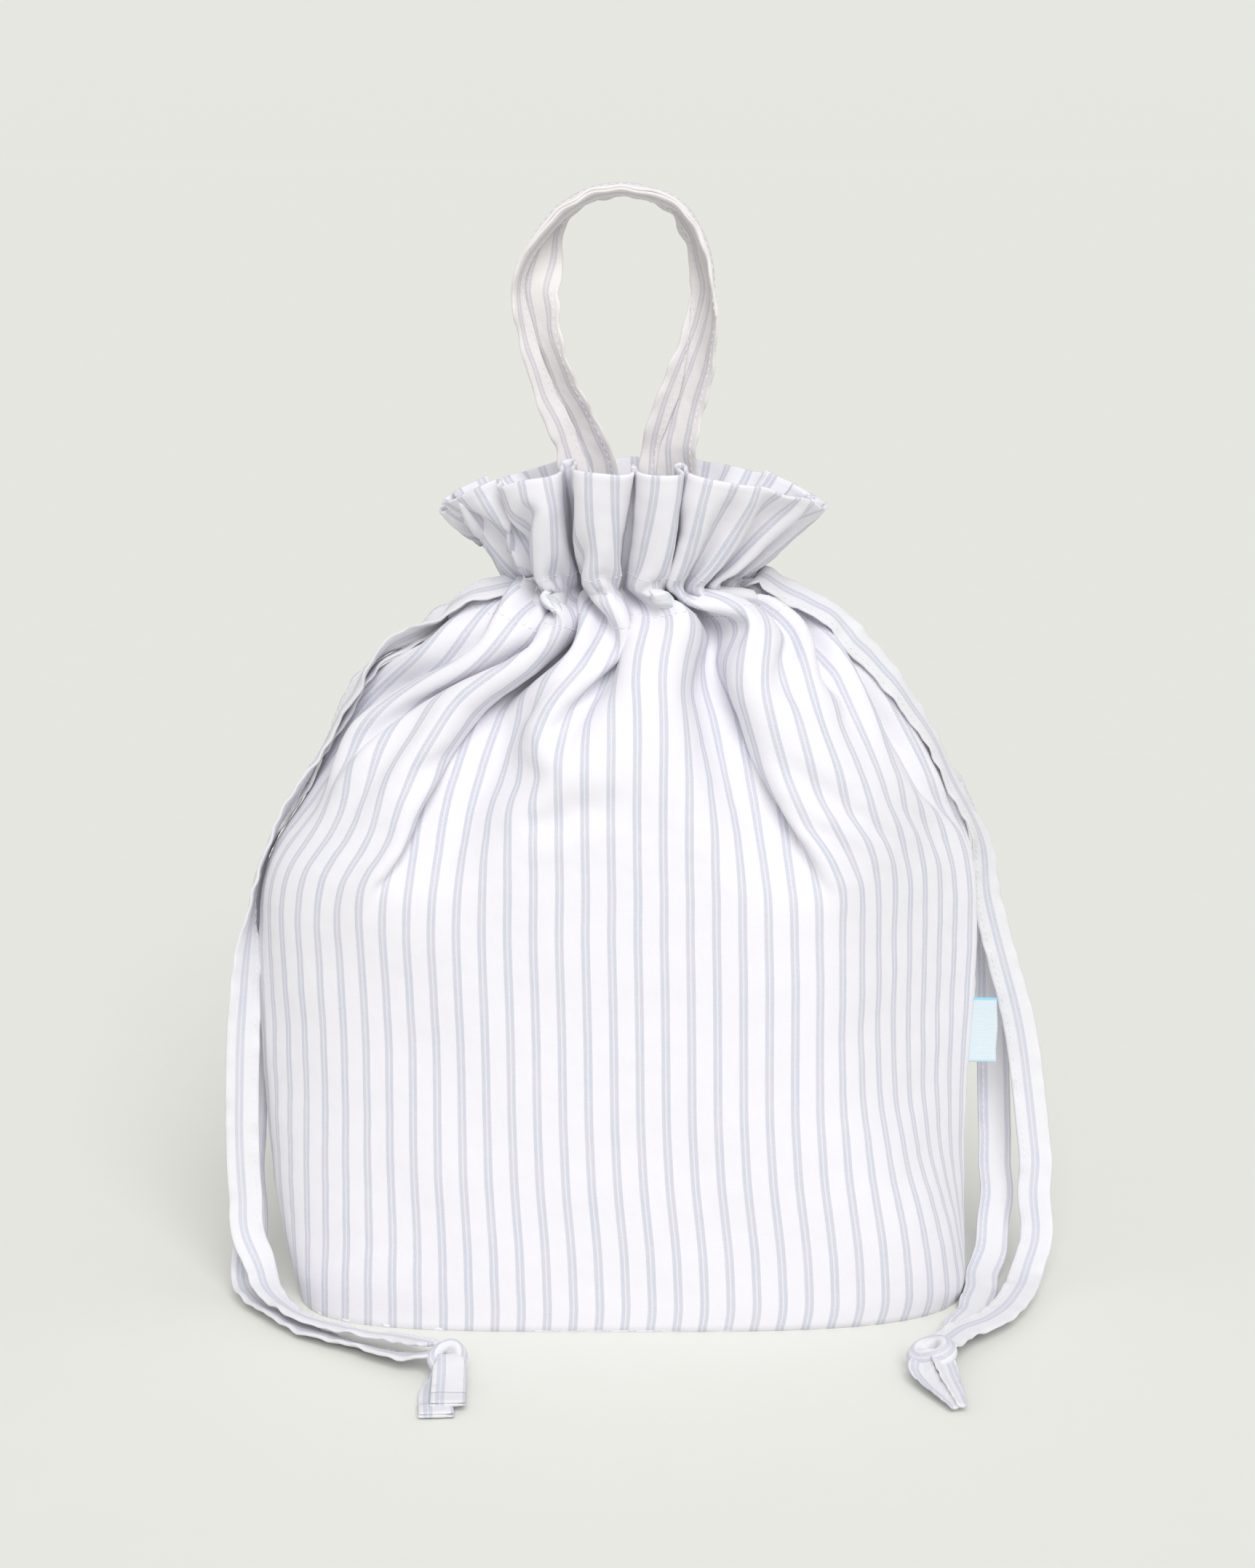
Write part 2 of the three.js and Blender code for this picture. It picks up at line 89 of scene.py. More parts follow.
class Build:
    """Collects points and faces of one piece, in millimetres."""

    def __init__(self):
        self.v, self.f, self.uv, self.m, self.n = [], [], [], [], 0

    def add(self, points, faces, uv, material=0):
        points = np.asarray(points, float).reshape(-1, 3)
        faces = np.asarray(faces, int)
        self.v.append(points)
        self.uv.append(np.asarray(uv, float).reshape(-1, 2))
        self.f += (faces + self.n).tolist()
        self.m += [material] * len(faces)
        self.n += len(points)

    def done(self, name, materials, smooth_faces=True):
        me = bpy.data.meshes.new(name)
        v = np.concatenate(self.v) * MM
        me.from_pydata(v.tolist(), [], self.f)
        uv = np.concatenate(self.uv)
        layer = me.uv_layers.new(name="cloth")
        loops = np.empty(len(me.loops), np.int32)
        me.loops.foreach_get("vertex_index", loops)
        layer.data.foreach_set("uv", uv[loops].astype(np.float32).ravel())
        for m in materials:
            me.materials.append(m)
        me.polygons.foreach_set("material_index", np.array(self.m, np.int32))
        me.polygons.foreach_set("use_smooth", np.full(len(self.f), smooth_faces))
        me.update()
        ob = bpy.data.objects.new(name, me)
        scene.collection.objects.link(ob)
        return ob


def grid_faces(rows, cols, closed=False):
    i, j = np.meshgrid(np.arange(rows - 1), np.arange(cols if closed else cols - 1), indexing="ij")
    a = i * cols + j
    b = i * cols + (j + 1) % cols
    return np.stack([a, b, b + cols, a + cols], -1).reshape(-1, 4)


def grid_normals(p, closed=False):
    du = (np.roll(p, -1, 1) - np.roll(p, 1, 1)) if closed else np.gradient(p, axis=1)
    dv = np.gradient(p, axis=0)
    return unit(np.cross(du, dv))


def add_shell(build, p, n, thick, u, v, material=0, inner=None):
    """Two faces of a cloth and its rounded rims, from a grid of points on its middle."""
    rows, cols = p.shape[:2]
    t = np.broadcast_to(np.asarray(thick, float), (rows, cols))[..., None] / 2
    uv = np.stack([u, v], -1)
    f = grid_faces(rows, cols)
    base = build.n
    build.add(p + n * t, f, uv, material)
    build.add(p - n * t, f[:, ::-1], uv, material if inner is None else inner)
    count = rows * cols
    for name, outer, step in (
        ("low", [(0, j) for j in range(cols)], (1, 0)),
        ("high", [(rows - 1, j) for j in range(cols)], (-1, 0)),
        ("left", [(i, 0) for i in range(rows)], (0, 1)),
        ("right", [(i, cols - 1) for i in range(rows)], (0, -1)),
    ):
        at = np.array(outer)
        inside = at + np.array(step)
        edge, within = p[at[:, 0], at[:, 1]], p[inside[:, 0], inside[:, 1]]
        away = unit(edge - within)
        mid = edge + away * t[at[:, 0], at[:, 1]] * 0.8
        start = build.n
        k = len(at)
        ids = at[:, 0] * cols + at[:, 1]
        build.v.append(mid)
        build.uv.append(uv[at[:, 0], at[:, 1]])
        build.n += k
        top, low, m = base + ids, base + count + ids, start + np.arange(k)
        flip = name in ("high", "left")
        for q in range(k - 1):
            one = [top[q], m[q], m[q + 1], top[q + 1]]
            two = [m[q], low[q], low[q + 1], m[q + 1]]
            if flip:
                one.reverse(), two.reverse()
            build.f += [[int(x) for x in one], [int(x) for x in two]]
            build.m += [material, material]


def along(points, step):
    """A smooth line through points, sampled evenly: positions, and where each lies among the points."""
    p = np.asarray(points, float)
    n = len(p)
    ext = np.vstack([2 * p[0] - p[1], p, 2 * p[-1] - p[-2]])
    knots = np.concatenate([[0], np.cumsum(np.sqrt(np.linalg.norm(np.diff(ext[:, :3], axis=0), axis=1)))])
    out, where = [], []
    for i in range(1, n):
        t0, t1, t2, t3 = knots[i - 1:i + 3]
        p0, p1, p2, p3 = ext[i - 1:i + 3]
        for s in np.linspace(0, 1, 24, endpoint=False):
            t = t1 + (t2 - t1) * s
            a1 = (t1 - t) / (t1 - t0) * p0 + (t - t0) / (t1 - t0) * p1
            a2 = (t2 - t) / (t2 - t1) * p1 + (t - t1) / (t2 - t1) * p2
            a3 = (t3 - t) / (t3 - t2) * p2 + (t - t2) / (t3 - t2) * p3
            b1 = (t2 - t) / (t2 - t0) * a1 + (t - t0) / (t2 - t0) * a2
            b2 = (t3 - t) / (t3 - t1) * a2 + (t - t1) / (t3 - t1) * a3
            out.append((t2 - t) / (t2 - t1) * b1 + (t - t1) / (t2 - t1) * b2)
            where.append(i - 1 + s)
    out.append(p[-1])
    where.append(n - 1.0)
    out, where = np.array(out), np.array(where)
    length = np.concatenate([[0], np.cumsum(np.linalg.norm(np.diff(out[:, :3], axis=0), axis=1))])
    count = max(2, int(round(length[-1] / step)) + 1)
    s = np.linspace(0, length[-1], count)
    even = np.stack([np.interp(s, length, out[:, k]) for k in range(out.shape[1])], -1)
    return even, np.interp(s, length, where), s


# ------------------------------------------------------------------ the cloth, as a grid
PITCH = 9.75  # from one pair of stripes to the next
WIDTH = 684.0  # cloth round the bag
BOX_TOP = 172.0  # height of the insulated box
SHOULDER = 142.0  # cloth from there to the neck
FRILL = 52.0  # cloth above the neck
NECK_Z = 278.0
LEFT_SEAM, RIGHT_SEAM = -18.4, 16.68  # seams, counted in stripes from the middle one

# height, reach to the left and right seam, half depth, then for each side how sharp its corner is
# and how much of it is as flat as the front
SECTIONS = np.array([
    [0, 131.5, 132, 66.5, 4.0, 1.0, 3.3, 1.0], [8, 134.5, 133.5, 68, 3.4, 1.0, 3.8, 0.97],
    [30, 141, 133.5, 70, 2.5, 1.0, 4.6, 0.88], [60, 144.8, 133.2, 71.2, 2.15, 1.0, 6.5, 0.72],
    [85, 146.3, 134.6, 71.5, 2.0, 1.0, 9.0, 0.6], [115, 147.3, 136.4, 71.5, 1.95, 1.0, 11.0, 0.54],
    [140, 147.3, 137, 71.5, 2.05, 1.0, 11.0, 0.54], [160, 146, 136.5, 71.2, 2.2, 1.0, 10.0, 0.55],
    [172, 143.5, 136.3, 71, 2.3, 1.0, 9.0, 0.57], [186, 136.5, 131.5, 70.5, 2.3, 1.0, 7.0, 0.62],
    [202, 127.5, 124.5, 69, 2.3, 1.0, 5.0, 0.7], [218, 118, 116, 66.5, 2.25, 1.0, 4.0, 0.78],
    [235, 106, 106, 63, 2.2, 1.0, 3.0, 0.86], [250, 95, 95, 59, 2.2, 1.0, 2.6, 0.92],
    [260, 84, 85, 56, 2.1, 1.0, 2.3, 0.98], [267, 73, 75, 52.5, 2.0, 1.0, 2.1, 1.0],
    [272, 61, 64, 49, 2.0, 1.0, 2.0, 1.0], [276, 50, 51, 45.5, 2.0, 1.0, 2.0, 1.0],
    [278, 43, 43, 43, 2.0, 1.0, 2.0, 1.0],
], float)
# what fills the bag is the same shape a little smaller, and well clear of the cloth above the box
STUFFING = SECTIONS.copy()
inset = np.interp(STUFFING[:, 0], [0, 160, 172, 186, 202, 235, 260, 267, 272, 276, 278], [0.8, 0.8, 2.0, 8, 13, 20, 32, 42, 48, 44, 41])
for col in (1, 2, 3):
    STUFFING[:, col] = np.maximum(STUFFING[:, col] - inset, 3)

# The gathered pleats, round the neck from the left seam by the front: where each valley lies in the cloth
# at the neck and at the top of the box (in stripes), how deep it is at the neck and at the top edge of the
# frill, and how far up the shoulder it starts.
VALLEYS = np.array([
    [-16.6, -16.2, 9, 11, 0.10, 0], [-12.4, -12.9, 12, 7, 0.30, 0], [-7.3, -9.4, 24, 24, 0.0, 0], [-4.9, -1.0, 19, 18, 0.58, 1],
    [-0.6, -0.2, 12, 14, 0.86, 1], [4.0, 6.6, 20, 14, 0.0, 0], [7.1, 8.0, 6, 3, 0.70, 0], [9.4, 9.9, 7, 4, 0.55, 0], [11.9, 12.2, 9, 4, 0.35, 0],
    [14.4, 15.0, 10, 9, 0.12, 0],
    [18.3, 18.3, 9, 6, 0.55, 0], [21.4, 21.6, 10, 3, 0.10, 0], [24.5, 24.3, 9, 7, 0.60, 0], [27.7, 27.5, 8, 2, 0.35, 0],
    [30.9, 30.2, 11, 8, 0.0, 0], [34.2, 34.4, 9, 2, 0.60, 0], [37.4, 37.0, 9, 7, 0.30, 0], [40.6, 41.0, 11, 2, 0.0, 0],
    [43.9, 44.2, 8, 7, 0.60, 0], [47.0, 46.9, 9, 2, 0.35, 0], [50.2, 49.9, 9, 6, 0.55, 0],
], float)
# small ones between them, only next to the neck
SMALL = np.array([[-14.2, 3.0], [-10.4, 2.5], [16.8, 2.5], [19.9, 3.0], [26.2, 2.5], [29.2, 3.0], [32.5, 2.5], [39.0, 3.0], [45.4, 2.5], [48.7, 3.0]])
ANCHOR = 3  # the valley just left of the middle of the front

# The front of the gathers from the left seam to the right one, as seen from above: stripe, x, y.
# First at the neck, then along the top edge of the frill.
NECK_LINE = np.array([
    (-18.0, -43.5, -1), (-16.6, -33, -5.5), (-15.2, -42.5, -10.5), (-13.9, -31.5, -12.5), (-12.7, -39, -18.5), (-11.5, -28, -18),
    (-10.2, -34.5, -26.5), (-9.6, -31.5, -30.5), (-8.0, -25, -22), (-6.6, -19, -12.5), (-5.3, -17.8, -25), (-3.9, -16.6, -37.5),
    (-3.3, -13.8, -42), (-2.7, -9.8, -43), (-2.0, -7, -38.5), (-0.6, -4.2, -26), (0.8, 0.2, -38.5), (1.3, 3.4, -42.8), (1.9, 8.2, -43),
    (2.3, 10.5, -40.3), (4.0, 12, -25.5), (5.3, 14.4, -37), (5.8, 16.4, -40.4), (6.15, 19.2, -39.2), (7.1, 19.5, -30.5), (8.1, 24.6, -37),
    (8.45, 27.4, -34.8), (9.4, 25.2, -26), (10.5, 32, -30.8), (10.85, 34.4, -28), (11.9, 28.4, -19.5), (13.0, 38, -22.3), (13.35, 39.8, -19.2),
    (14.4, 31, -13), (15.4, 40.5, -11), (15.75, 41.6, -7.8)], float)
EDGE_LINE = np.array([
    (-17.2, -64, -1), (-16.2, -68, -7), (-15.5, -68, -13), (-14.8, -65, -18.5), (-14.0, -61, -25), (-13.0, -55.5, -33), (-12.6, -51.5, -34.5),
    (-12.1, -46.5, -32.5), (-11.6, -50, -37), (-11.2, -49, -41.3), (-10.3, -42, -47), (-9.2, -32.5, -52.5), (-8.7, -28.5, -51),
    (-7.6, -26, -41), (-6.5, -23.5, -30.5), (-5.3, -22, -41.5), (-4.15, -22, -52.3), (-3.6, -20.6, -57), (-2.7, -13, -61), (-1.7, -4, -62.5),
    (-1.2, -0.3, -60.5), (-0.55, 0.8, -54.6), (0.1, 2.0, -59.6), (0.5, 5, -62.6), (1.3, 12.5, -63.2), (1.9, 17.8, -61.4), (2.4, 19.2, -57.3),
    (3.1, 16.2, -51.6), (3.8, 18, -46), (4.7, 19.6, -53.5), (5.4, 22.5, -58.8), (6.2, 30, -59.3), (7.2, 39, -56.3), (8.0, 45.5, -52),
    (8.5, 48.5, -48.3), (9.3, 54.5, -45), (10.3, 61, -39), (11.0, 64.2, -33.3), (11.8, 67.6, -27.3), (12.7, 71.3, -19.5), (13.4, 70.6, -13),
    (14.2, 64.5, -9.5), (15.0, 58.5, -11.5), (15.8, 62.5, -5)], float)


def cloth_u(stripe):
    return WIDTH + (stripe - RIGHT_SEAM) * PITCH


def section_at(table, z):
    return [np.interp(z, table[:, 0], table[:, k]) for k in range(1, 8)]


def closed_outline(z, count=1440):
    """The bag's outline at a height, from the right seam by the back: points, outward normals, running length."""
    left, right, b, ml, kl, mr, kr = section_at(SECTIONS, z)
    t = np.linspace(0, TAU, count + 1)
    c, s = np.cos(t), np.abs(np.sin(t))
    a, m, k = np.where(c < 0, left, right), np.where(c < 0, ml, mr), np.where(c < 0, kl, kr)
    r = (s ** m + (np.abs(c) + (1 - k) * s) ** m) ** (-1 / m)
    return with_normals(np.stack([r * c * a, r * np.sin(t) * b], -1))


def circle_outline(r):
    t = np.linspace(0, TAU, 1441)
    return with_normals(r * np.stack([np.cos(t), np.sin(t)], -1))


def with_normals(p):
    length = np.concatenate([[0], np.cumsum(np.linalg.norm(np.diff(p, axis=0), axis=1))])
    g = np.gradient(p, axis=0)
    g[0] = g[-1] = p[1] - p[-2]
    return p, unit(np.stack([g[:, 1], -g[:, 0]], -1)), length


def pleated_row(base, u, valley_u, weight, anchor_share, sharp, bulge):
    """A closed pleated row at cloth positions u. The pleats are as deep as it takes to hold all the cloth."""
    p, nrm, length = base
    total = length[-1]
    cloth = np.diff(np.concatenate([[valley_u[-1] - WIDTH], valley_u]))
    prev = np.roll(weight, 1)
    lo, hi = 0.0, 4.0
    for _ in range(40):
        mid = (lo + hi) / 2
        d1, d2 = mid * prev, mid * weight
        slack = np.maximum(cloth - d1 - d2, 0.5) / 2
        w1 = np.sqrt(np.maximum((slack + d1) ** 2 - (0.985 * d1) ** 2, 0.25))
        w2 = np.sqrt(np.maximum((slack + d2) ** 2 - (0.985 * d2) ** 2, 0.25))
        if (w1 + w2).sum() > total:
            lo = mid
        else:
            hi = mid
    fit = total / (w1 + w2).sum()
    w1, w2 = w1 * fit, w2 * fit
    ends = np.cumsum(w1 + w2)
    ends += anchor_share * total - ends[ANCHOR_AT]
    out = np.empty((len(u), 2))
    q = np.linspace(0, 1, 41)
    for k in range(len(valley_u)):
        crest = ends[k] - w2[k]
        sides = []
        for sign, w, d in ((-1, w1[k], d1[k]), (1, w2[k], d2[k])):
            h = (1 - np.cos(math.pi * q)) / 2 * (1 - sharp) + sharp * q ** 1.15
            at = crest + sign * (w * q + bulge * min(1.0, d / 12) * np.sin(TAU * q))
            x, y, nx, ny = (np.interp(at % total, length, c) for c in (p[:, 0], p[:, 1], nrm[:, 0], nrm[:, 1]))
            side = np.stack([x - d * h * nx, y - d * h * ny], -1)
            sides.append(side[::-1] if sign < 0 else side[1:])
        line = np.concatenate(sides)
        ln = np.concatenate([[0], np.cumsum(np.linalg.norm(np.diff(line, axis=0), axis=1))])
        u1 = valley_u[k]
        u0 = u1 - cloth[k]
        uu = u0 + ln / ln[-1] * (u1 - u0)
        for shift in (-2 * WIDTH, -WIDTH, 0, WIDTH, 2 * WIDTH):
            m = (u + shift >= u0 - 1e-9) & (u + shift < u1 + 1e-9)
            out[m, 0] = np.interp(u[m] + shift, uu, line[:, 0])
            out[m, 1] = np.interp(u[m] + shift, uu, line[:, 1])
    return out, ends / total, mid * weight


def measured_row(line, stripes, first, last):
    """A row of the front through measured points, with its cloth at its true length."""
    line = np.vstack([[stripes[0], *first], line, [stripes[-1], *last]])
    dense, where, _ = along(line[:, 1:], 0.4)
    s = np.interp(where, np.arange(len(line)), line[:, 0])
    p = np.stack([np.interp(stripes, s, dense[:, 0]), np.interp(stripes, s, dense[:, 1])], -1)
    goal = p.copy()
    rest = np.diff(stripes) * PITCH
    for _ in range(260):
        p[1:-1] += (goal[1:-1] - p[1:-1]) * 0.02
        for odd in (0, 1):
            d = p[1:] - p[:-1]
            ln = np.linalg.norm(d, axis=1, keepdims=True) + 1e-6
            move = d * (0.5 * (ln - rest[:, None]) / ln)
            move[1 - odd::2] = 0
            p[:-1] += move
            p[1:] -= move
            p[0], p[-1] = goal[0], goal[-1]
        p[1:-1] += ((p[:-2] + p[2:]) / 2 - p[1:-1]) * 0.03
    return p


def all_valleys():
    rows = [[v[0], v[1], v[2], v[3], v[4], 0, v[5]] for v in VALLEYS] + [[x, x, d, 0, 0.86, 1, 0] for x, d in SMALL]
    rows.sort(key=lambda v: v[0])
    return np.array(rows)


PLEATS = all_valleys()
ANCHOR_AT = int(np.argmin(np.abs(PLEATS[:, 0] - VALLEYS[ANCHOR, 0]) + 100 * PLEATS[:, 5]))
MERIDIAN_Z = np.linspace(BOX_TOP, NECK_Z, 500)


def meridian():
    left, right, b = section_at(SECTIONS, MERIDIAN_Z)[:3]
    mean = (left + right) / 4 + b / 2
    run = np.concatenate([[0], np.cumsum(np.hypot(np.diff(mean), np.diff(MERIDIAN_Z)))])
    return run / run[-1]


MERIDIAN = meridian()


ROLL_OUT, ROLL_UP = 6.5, 6.5
NECK_TILT = 4.5  # how much higher the front of the neck sits


def cloth_grid(level):
    """Where the cloth starts: points [row, column], cloth heights of the rows, and the neck's row."""
    cols = 112 * 2 ** level
    low, mid, high = (np.array([15, 19, 7]) * 2 ** level).tolist()
    u = np.arange(cols) / cols * WIDTH
    v = np.concatenate([
        np.linspace(0, BOX_TOP, low + 1)[:-1],
        np.linspace(BOX_TOP, BOX_TOP + SHOULDER, mid + 1)[:-1],
        np.linspace(BOX_TOP + SHOULDER, BOX_TOP + SHOULDER + FRILL, high + 1),
    ])
    p = np.empty((len(v), cols, 3))
    neck_u, body_u = cloth_u(PLEATS[:, 0]), cloth_u(PLEATS[:, 1])
    d_neck, d_top, t0, small, wander = PLEATS[:, 2], PLEATS[:, 3], PLEATS[:, 4], PLEATS[:, 5], PLEATS[:, 6]
    share_body = body_u[ANCHOR_AT] / WIDTH
    share_neck, share_top = 261.0 / 360, 262.0 / 360
    half = cols // 2
    front = np.append(np.arange(half, cols), 0)
    stripes = (np.append(u[half:], WIDTH) - WIDTH) / PITCH + RIGHT_SEAM

    def neck_outline():
        weight = d_neck + 0.02
        return pleated_row(circle_outline(43), u, neck_u, weight, share_neck, 0.15, 1.2)[0]

    def edge_outline():
        weight = d_neck * 0 + d_top + 0.02
        q = pleated_row(circle_outline(66.5), u, neck_u, weight, share_top, 0.65, 0)[0]
        ang = np.arctan2(q[:, 1], q[:, 0])
        return np.stack([q[:, 0] * (1 + 0.10 * np.cos(ang) ** 2), q[:, 1] * 0.94], -1)

    neck_row, edge_row = neck_outline(), edge_outline()
    neck_row[front] = measured_row(NECK_LINE, stripes, neck_row[half], neck_row[0])
    edge_row[front] = measured_row(EDGE_LINE, stripes, edge_row[half], edge_row[0])
    for i, h in enumerate(v):
        if h <= BOX_TOP:
            q, _, length = closed_outline(h)
            at = u / WIDTH * length[-1]
            p[i, :, 0] = np.interp(at, length, q[:, 0])
            p[i, :, 1] = np.interp(at, length, q[:, 1])
            p[i, :, 2] = h
        elif h < BOX_TOP + SHOULDER - 1e-6:
            t = (h - BOX_TOP) / SHOULDER
            z = np.interp(t, MERIDIAN, MERIDIAN_Z)
            k = t ** 0.9
            weight = d_neck * smooth(t, t0 - 0.12, np.minimum(1, t0 + 0.45)) + 0.02
            weight = np.where((t0 < 0.05), d_neck * (1.3 - 0.3 * t), weight)
            share = share_body * (1 - k) + share_neck * k
            outline = closed_outline(z)
            slide = np.where(wander > 0, np.clip((t - t0) / (0.95 - t0), 0, 1), k)
            weight = np.where(wander > 0, d_neck * smooth(t, t0 - 0.04, t0 + 0.12) + 0.02, weight)
            q, ends, depth = pleated_row(outline, u, body_u * (1 - slide) + neck_u * slide, weight, share, 0.15, 1.2 * t)
            left, right, b = section_at(SECTIONS, z)[:3]
            grown = neck_row * np.stack([np.where(neck_row[:, 0] < 0, left, right) / 43, np.full(cols, b / 43)], -1)
            near = float(smooth(t, 0.86, 1.0))
            q = q * (1 - near) + grown * near
            # the cloth rolls outwards over the cord before it falls
            below = BOX_TOP + SHOULDER - h
            reach = np.hypot(q[:, 0], q[:, 1])
            edge = np.interp(np.arctan2(q[:, 1], q[:, 0]) % TAU, np.arctan2(outline[0][:-1, 1], outline[0][:-1, 0]) % TAU, np.hypot(outline[0][:-1, 0], outline[0][:-1, 1]))
            crest = np.clip(1 - (edge - reach) / 14, 0.15, 1)
            swell = ROLL_OUT * math.sin(math.pi * min(1, below / 34)) * crest
            p[i, :, :2] = q * (1 + swell / np.maximum(reach, 5))[:, None]
            tilt = NECK_TILT * np.maximum(0, -q[:, 1] / np.maximum(reach, 1)) * float(smooth(t, 0.55, 1.0))
            p[i, :, 2] = z + ROLL_UP * math.exp(-((below - 9) / 7.0) ** 2) * crest + tilt
        else:
            t = (h - BOX_TOP - SHOULDER) / FRILL
            k = 1 - (1 - t) ** 1.25
            q = neck_row * (1 - k) + edge_row * k
            reach = np.hypot(q[:, 0], q[:, 1])
            waist = 1 - 1.2 * math.exp(-((t - 0.05) / 0.10) ** 2) / np.maximum(reach, 10)
            q = q * waist[:, None]
            side = np.cos(np.arctan2(q[:, 1], q[:, 0])) ** 2
            p[i, :, :2] = q
            ahead = np.maximum(0, -q[:, 1] / np.maximum(np.hypot(q[:, 0], q[:, 1]), 1))
            p[i, :, 2] = NECK_Z + NECK_TILT * ahead + 3.5 * ahead ** 2 * t + 49.5 * t - 7 * t ** 2 * (reach / 66) ** 2 - 10 * t ** 2 * side * (reach / 66)
    return p, u, v, low + mid, low


def refine(p):
    """Twice as many rows and columns, by a smooth cubic."""
    a = p
    mid = (-np.roll(a, 1, 1) + 9 * a + 9 * np.roll(a, -1, 1) - np.roll(a, -2, 1)) / 16
    wide = np.empty((a.shape[0], a.shape[1] * 2, 3))
    wide[:, 0::2], wide[:, 1::2] = a, mid
    e = np.concatenate([2 * wide[:1] - wide[1:2], wide, 2 * wide[-1:] - wide[-2:-1]])
    mid = (-e[:-3] + 9 * e[1:-2] + 9 * e[2:-1] - e[3:]) / 16
    tall = np.empty((wide.shape[0] * 2 - 1, wide.shape[1], 3))
    tall[0::2], tall[1::2] = wide, mid
    return tall


def relax(p, hold, len_u, len_v, steps, rounds, bend, weight, guide, guide_k, pressure, shear):
    """Lets the cloth settle: it keeps its size, bends a little, lies on the stuffing and hangs."""
    x = p.astype(np.float32).copy()
    old = x.copy()
    free = (1 - hold).astype(np.float32)[..., None]
    lu = len_u.astype(np.float32)
    lv = len_v.astype(np.float32)
    diag = np.sqrt(lu[:-1] ** 2 + lv ** 2)
    table = [STUFFING[:, k].astype(np.float32) for k in range(8)]
    guide = guide.astype(np.float32)
    guide_k = guide_k.astype(np.float32)
    pressure = pressure.astype(np.float32)

    def pull(a, b, wa, wb, rest):
        d = b - a
        ln = np.sqrt((d * d).sum(-1, keepdims=True)) + 1e-6
        s = d * ((ln - rest[..., None]) / (ln * (wa + wb) + 1e-6))
        a += wa * s
        b -= wb * s

    for step in range(steps):
        speed = (x - old) * np.float32(0.86)
        old = x.copy()
        speed += grid_normals(x, True).astype(np.float32) * pressure
        speed[..., 2] -= np.float32(weight)
        big = np.abs(speed).max(-1, keepdims=True)
        speed *= np.minimum(1, 1.2 / np.maximum(big, 1e-6))
        x += speed * free
        x += (guide - x) * guide_k * free
        for _ in range(rounds):
            # bending, both ways
            c = np.roll(x, 1, 1) + np.roll(x, -1, 1) - 2 * x
            x += free * (c * np.float32(bend * 0.5) - (np.roll(c, 1, 1) + np.roll(c, -1, 1)) * np.float32(bend * 0.25))
            c = np.zeros_like(x)
            c[1:-1] = x[:-2] + x[2:] - 2 * x[1:-1]
            g = c * np.float32(bend * 0.5)
            g[:-1] -= c[1:] * np.float32(bend * 0.25)
            g[1:] -= c[:-1] * np.float32(bend * 0.25)
            x += free * g
            # shear, softly
            for turn in (-1, 1):
                far = np.roll(x[1:], turn, 1)
                d = far - x[:-1]
                ln = np.sqrt((d * d).sum(-1, keepdims=True)) + 1e-6
                s = d * (np.float32(shear * 0.5) * (ln - diag[..., None]) / ln)
                x[:-1] += free[:-1] * s
                x[1:] -= free[1:] * np.roll(s, -turn, 1)
            # the threads keep their length
            pull(x[:, 0::2], x[:, 1::2], free[:, 0::2], free[:, 1::2], lu[:, 0::2])
            pull(x[:, 1:-1:2], x[:, 2::2], free[:, 1:-1:2], free[:, 2::2], lu[:, 1:-1:2])
            pull(x[:, -1], x[:, 0], free[:, -1], free[:, 0], lu[:, -1])
            pull(x[0:-1:2], x[1::2], free[0:-1:2], free[1::2], lv[0::2])
            pull(x[1:-1:2], x[2::2], free[1:-1:2], free[2::2], lv[1::2])
        # the stuffing
        z = np.clip(x[..., 2], 0, None)
        left, right, b, ml, kl, mr, kr = (np.interp(z, table[0], table[k]).astype(np.float32) for k in range(1, 8))
        neg = x[..., 0] < 0
        a, m, k = np.where(neg, left, right), np.where(neg, ml, mr), np.where(neg, kl, kr)
        gx, gy = np.abs(x[..., 0]) / a, np.abs(x[..., 1]) / b
        f = (gy ** m + (gx + (1 - k) * gy) ** m) ** (1 / m)
        out = np.where((f < 1) & (z < 276), 1 / np.maximum(f, 0.05), 1) - 1
        x[..., 0] += x[..., 0] * out * free[..., 0]
        x[..., 1] += x[..., 1] * out * free[..., 0]
        old = np.where((out > 0)[..., None], x - (x - old) * 0.3, old)
    return x.astype(float)


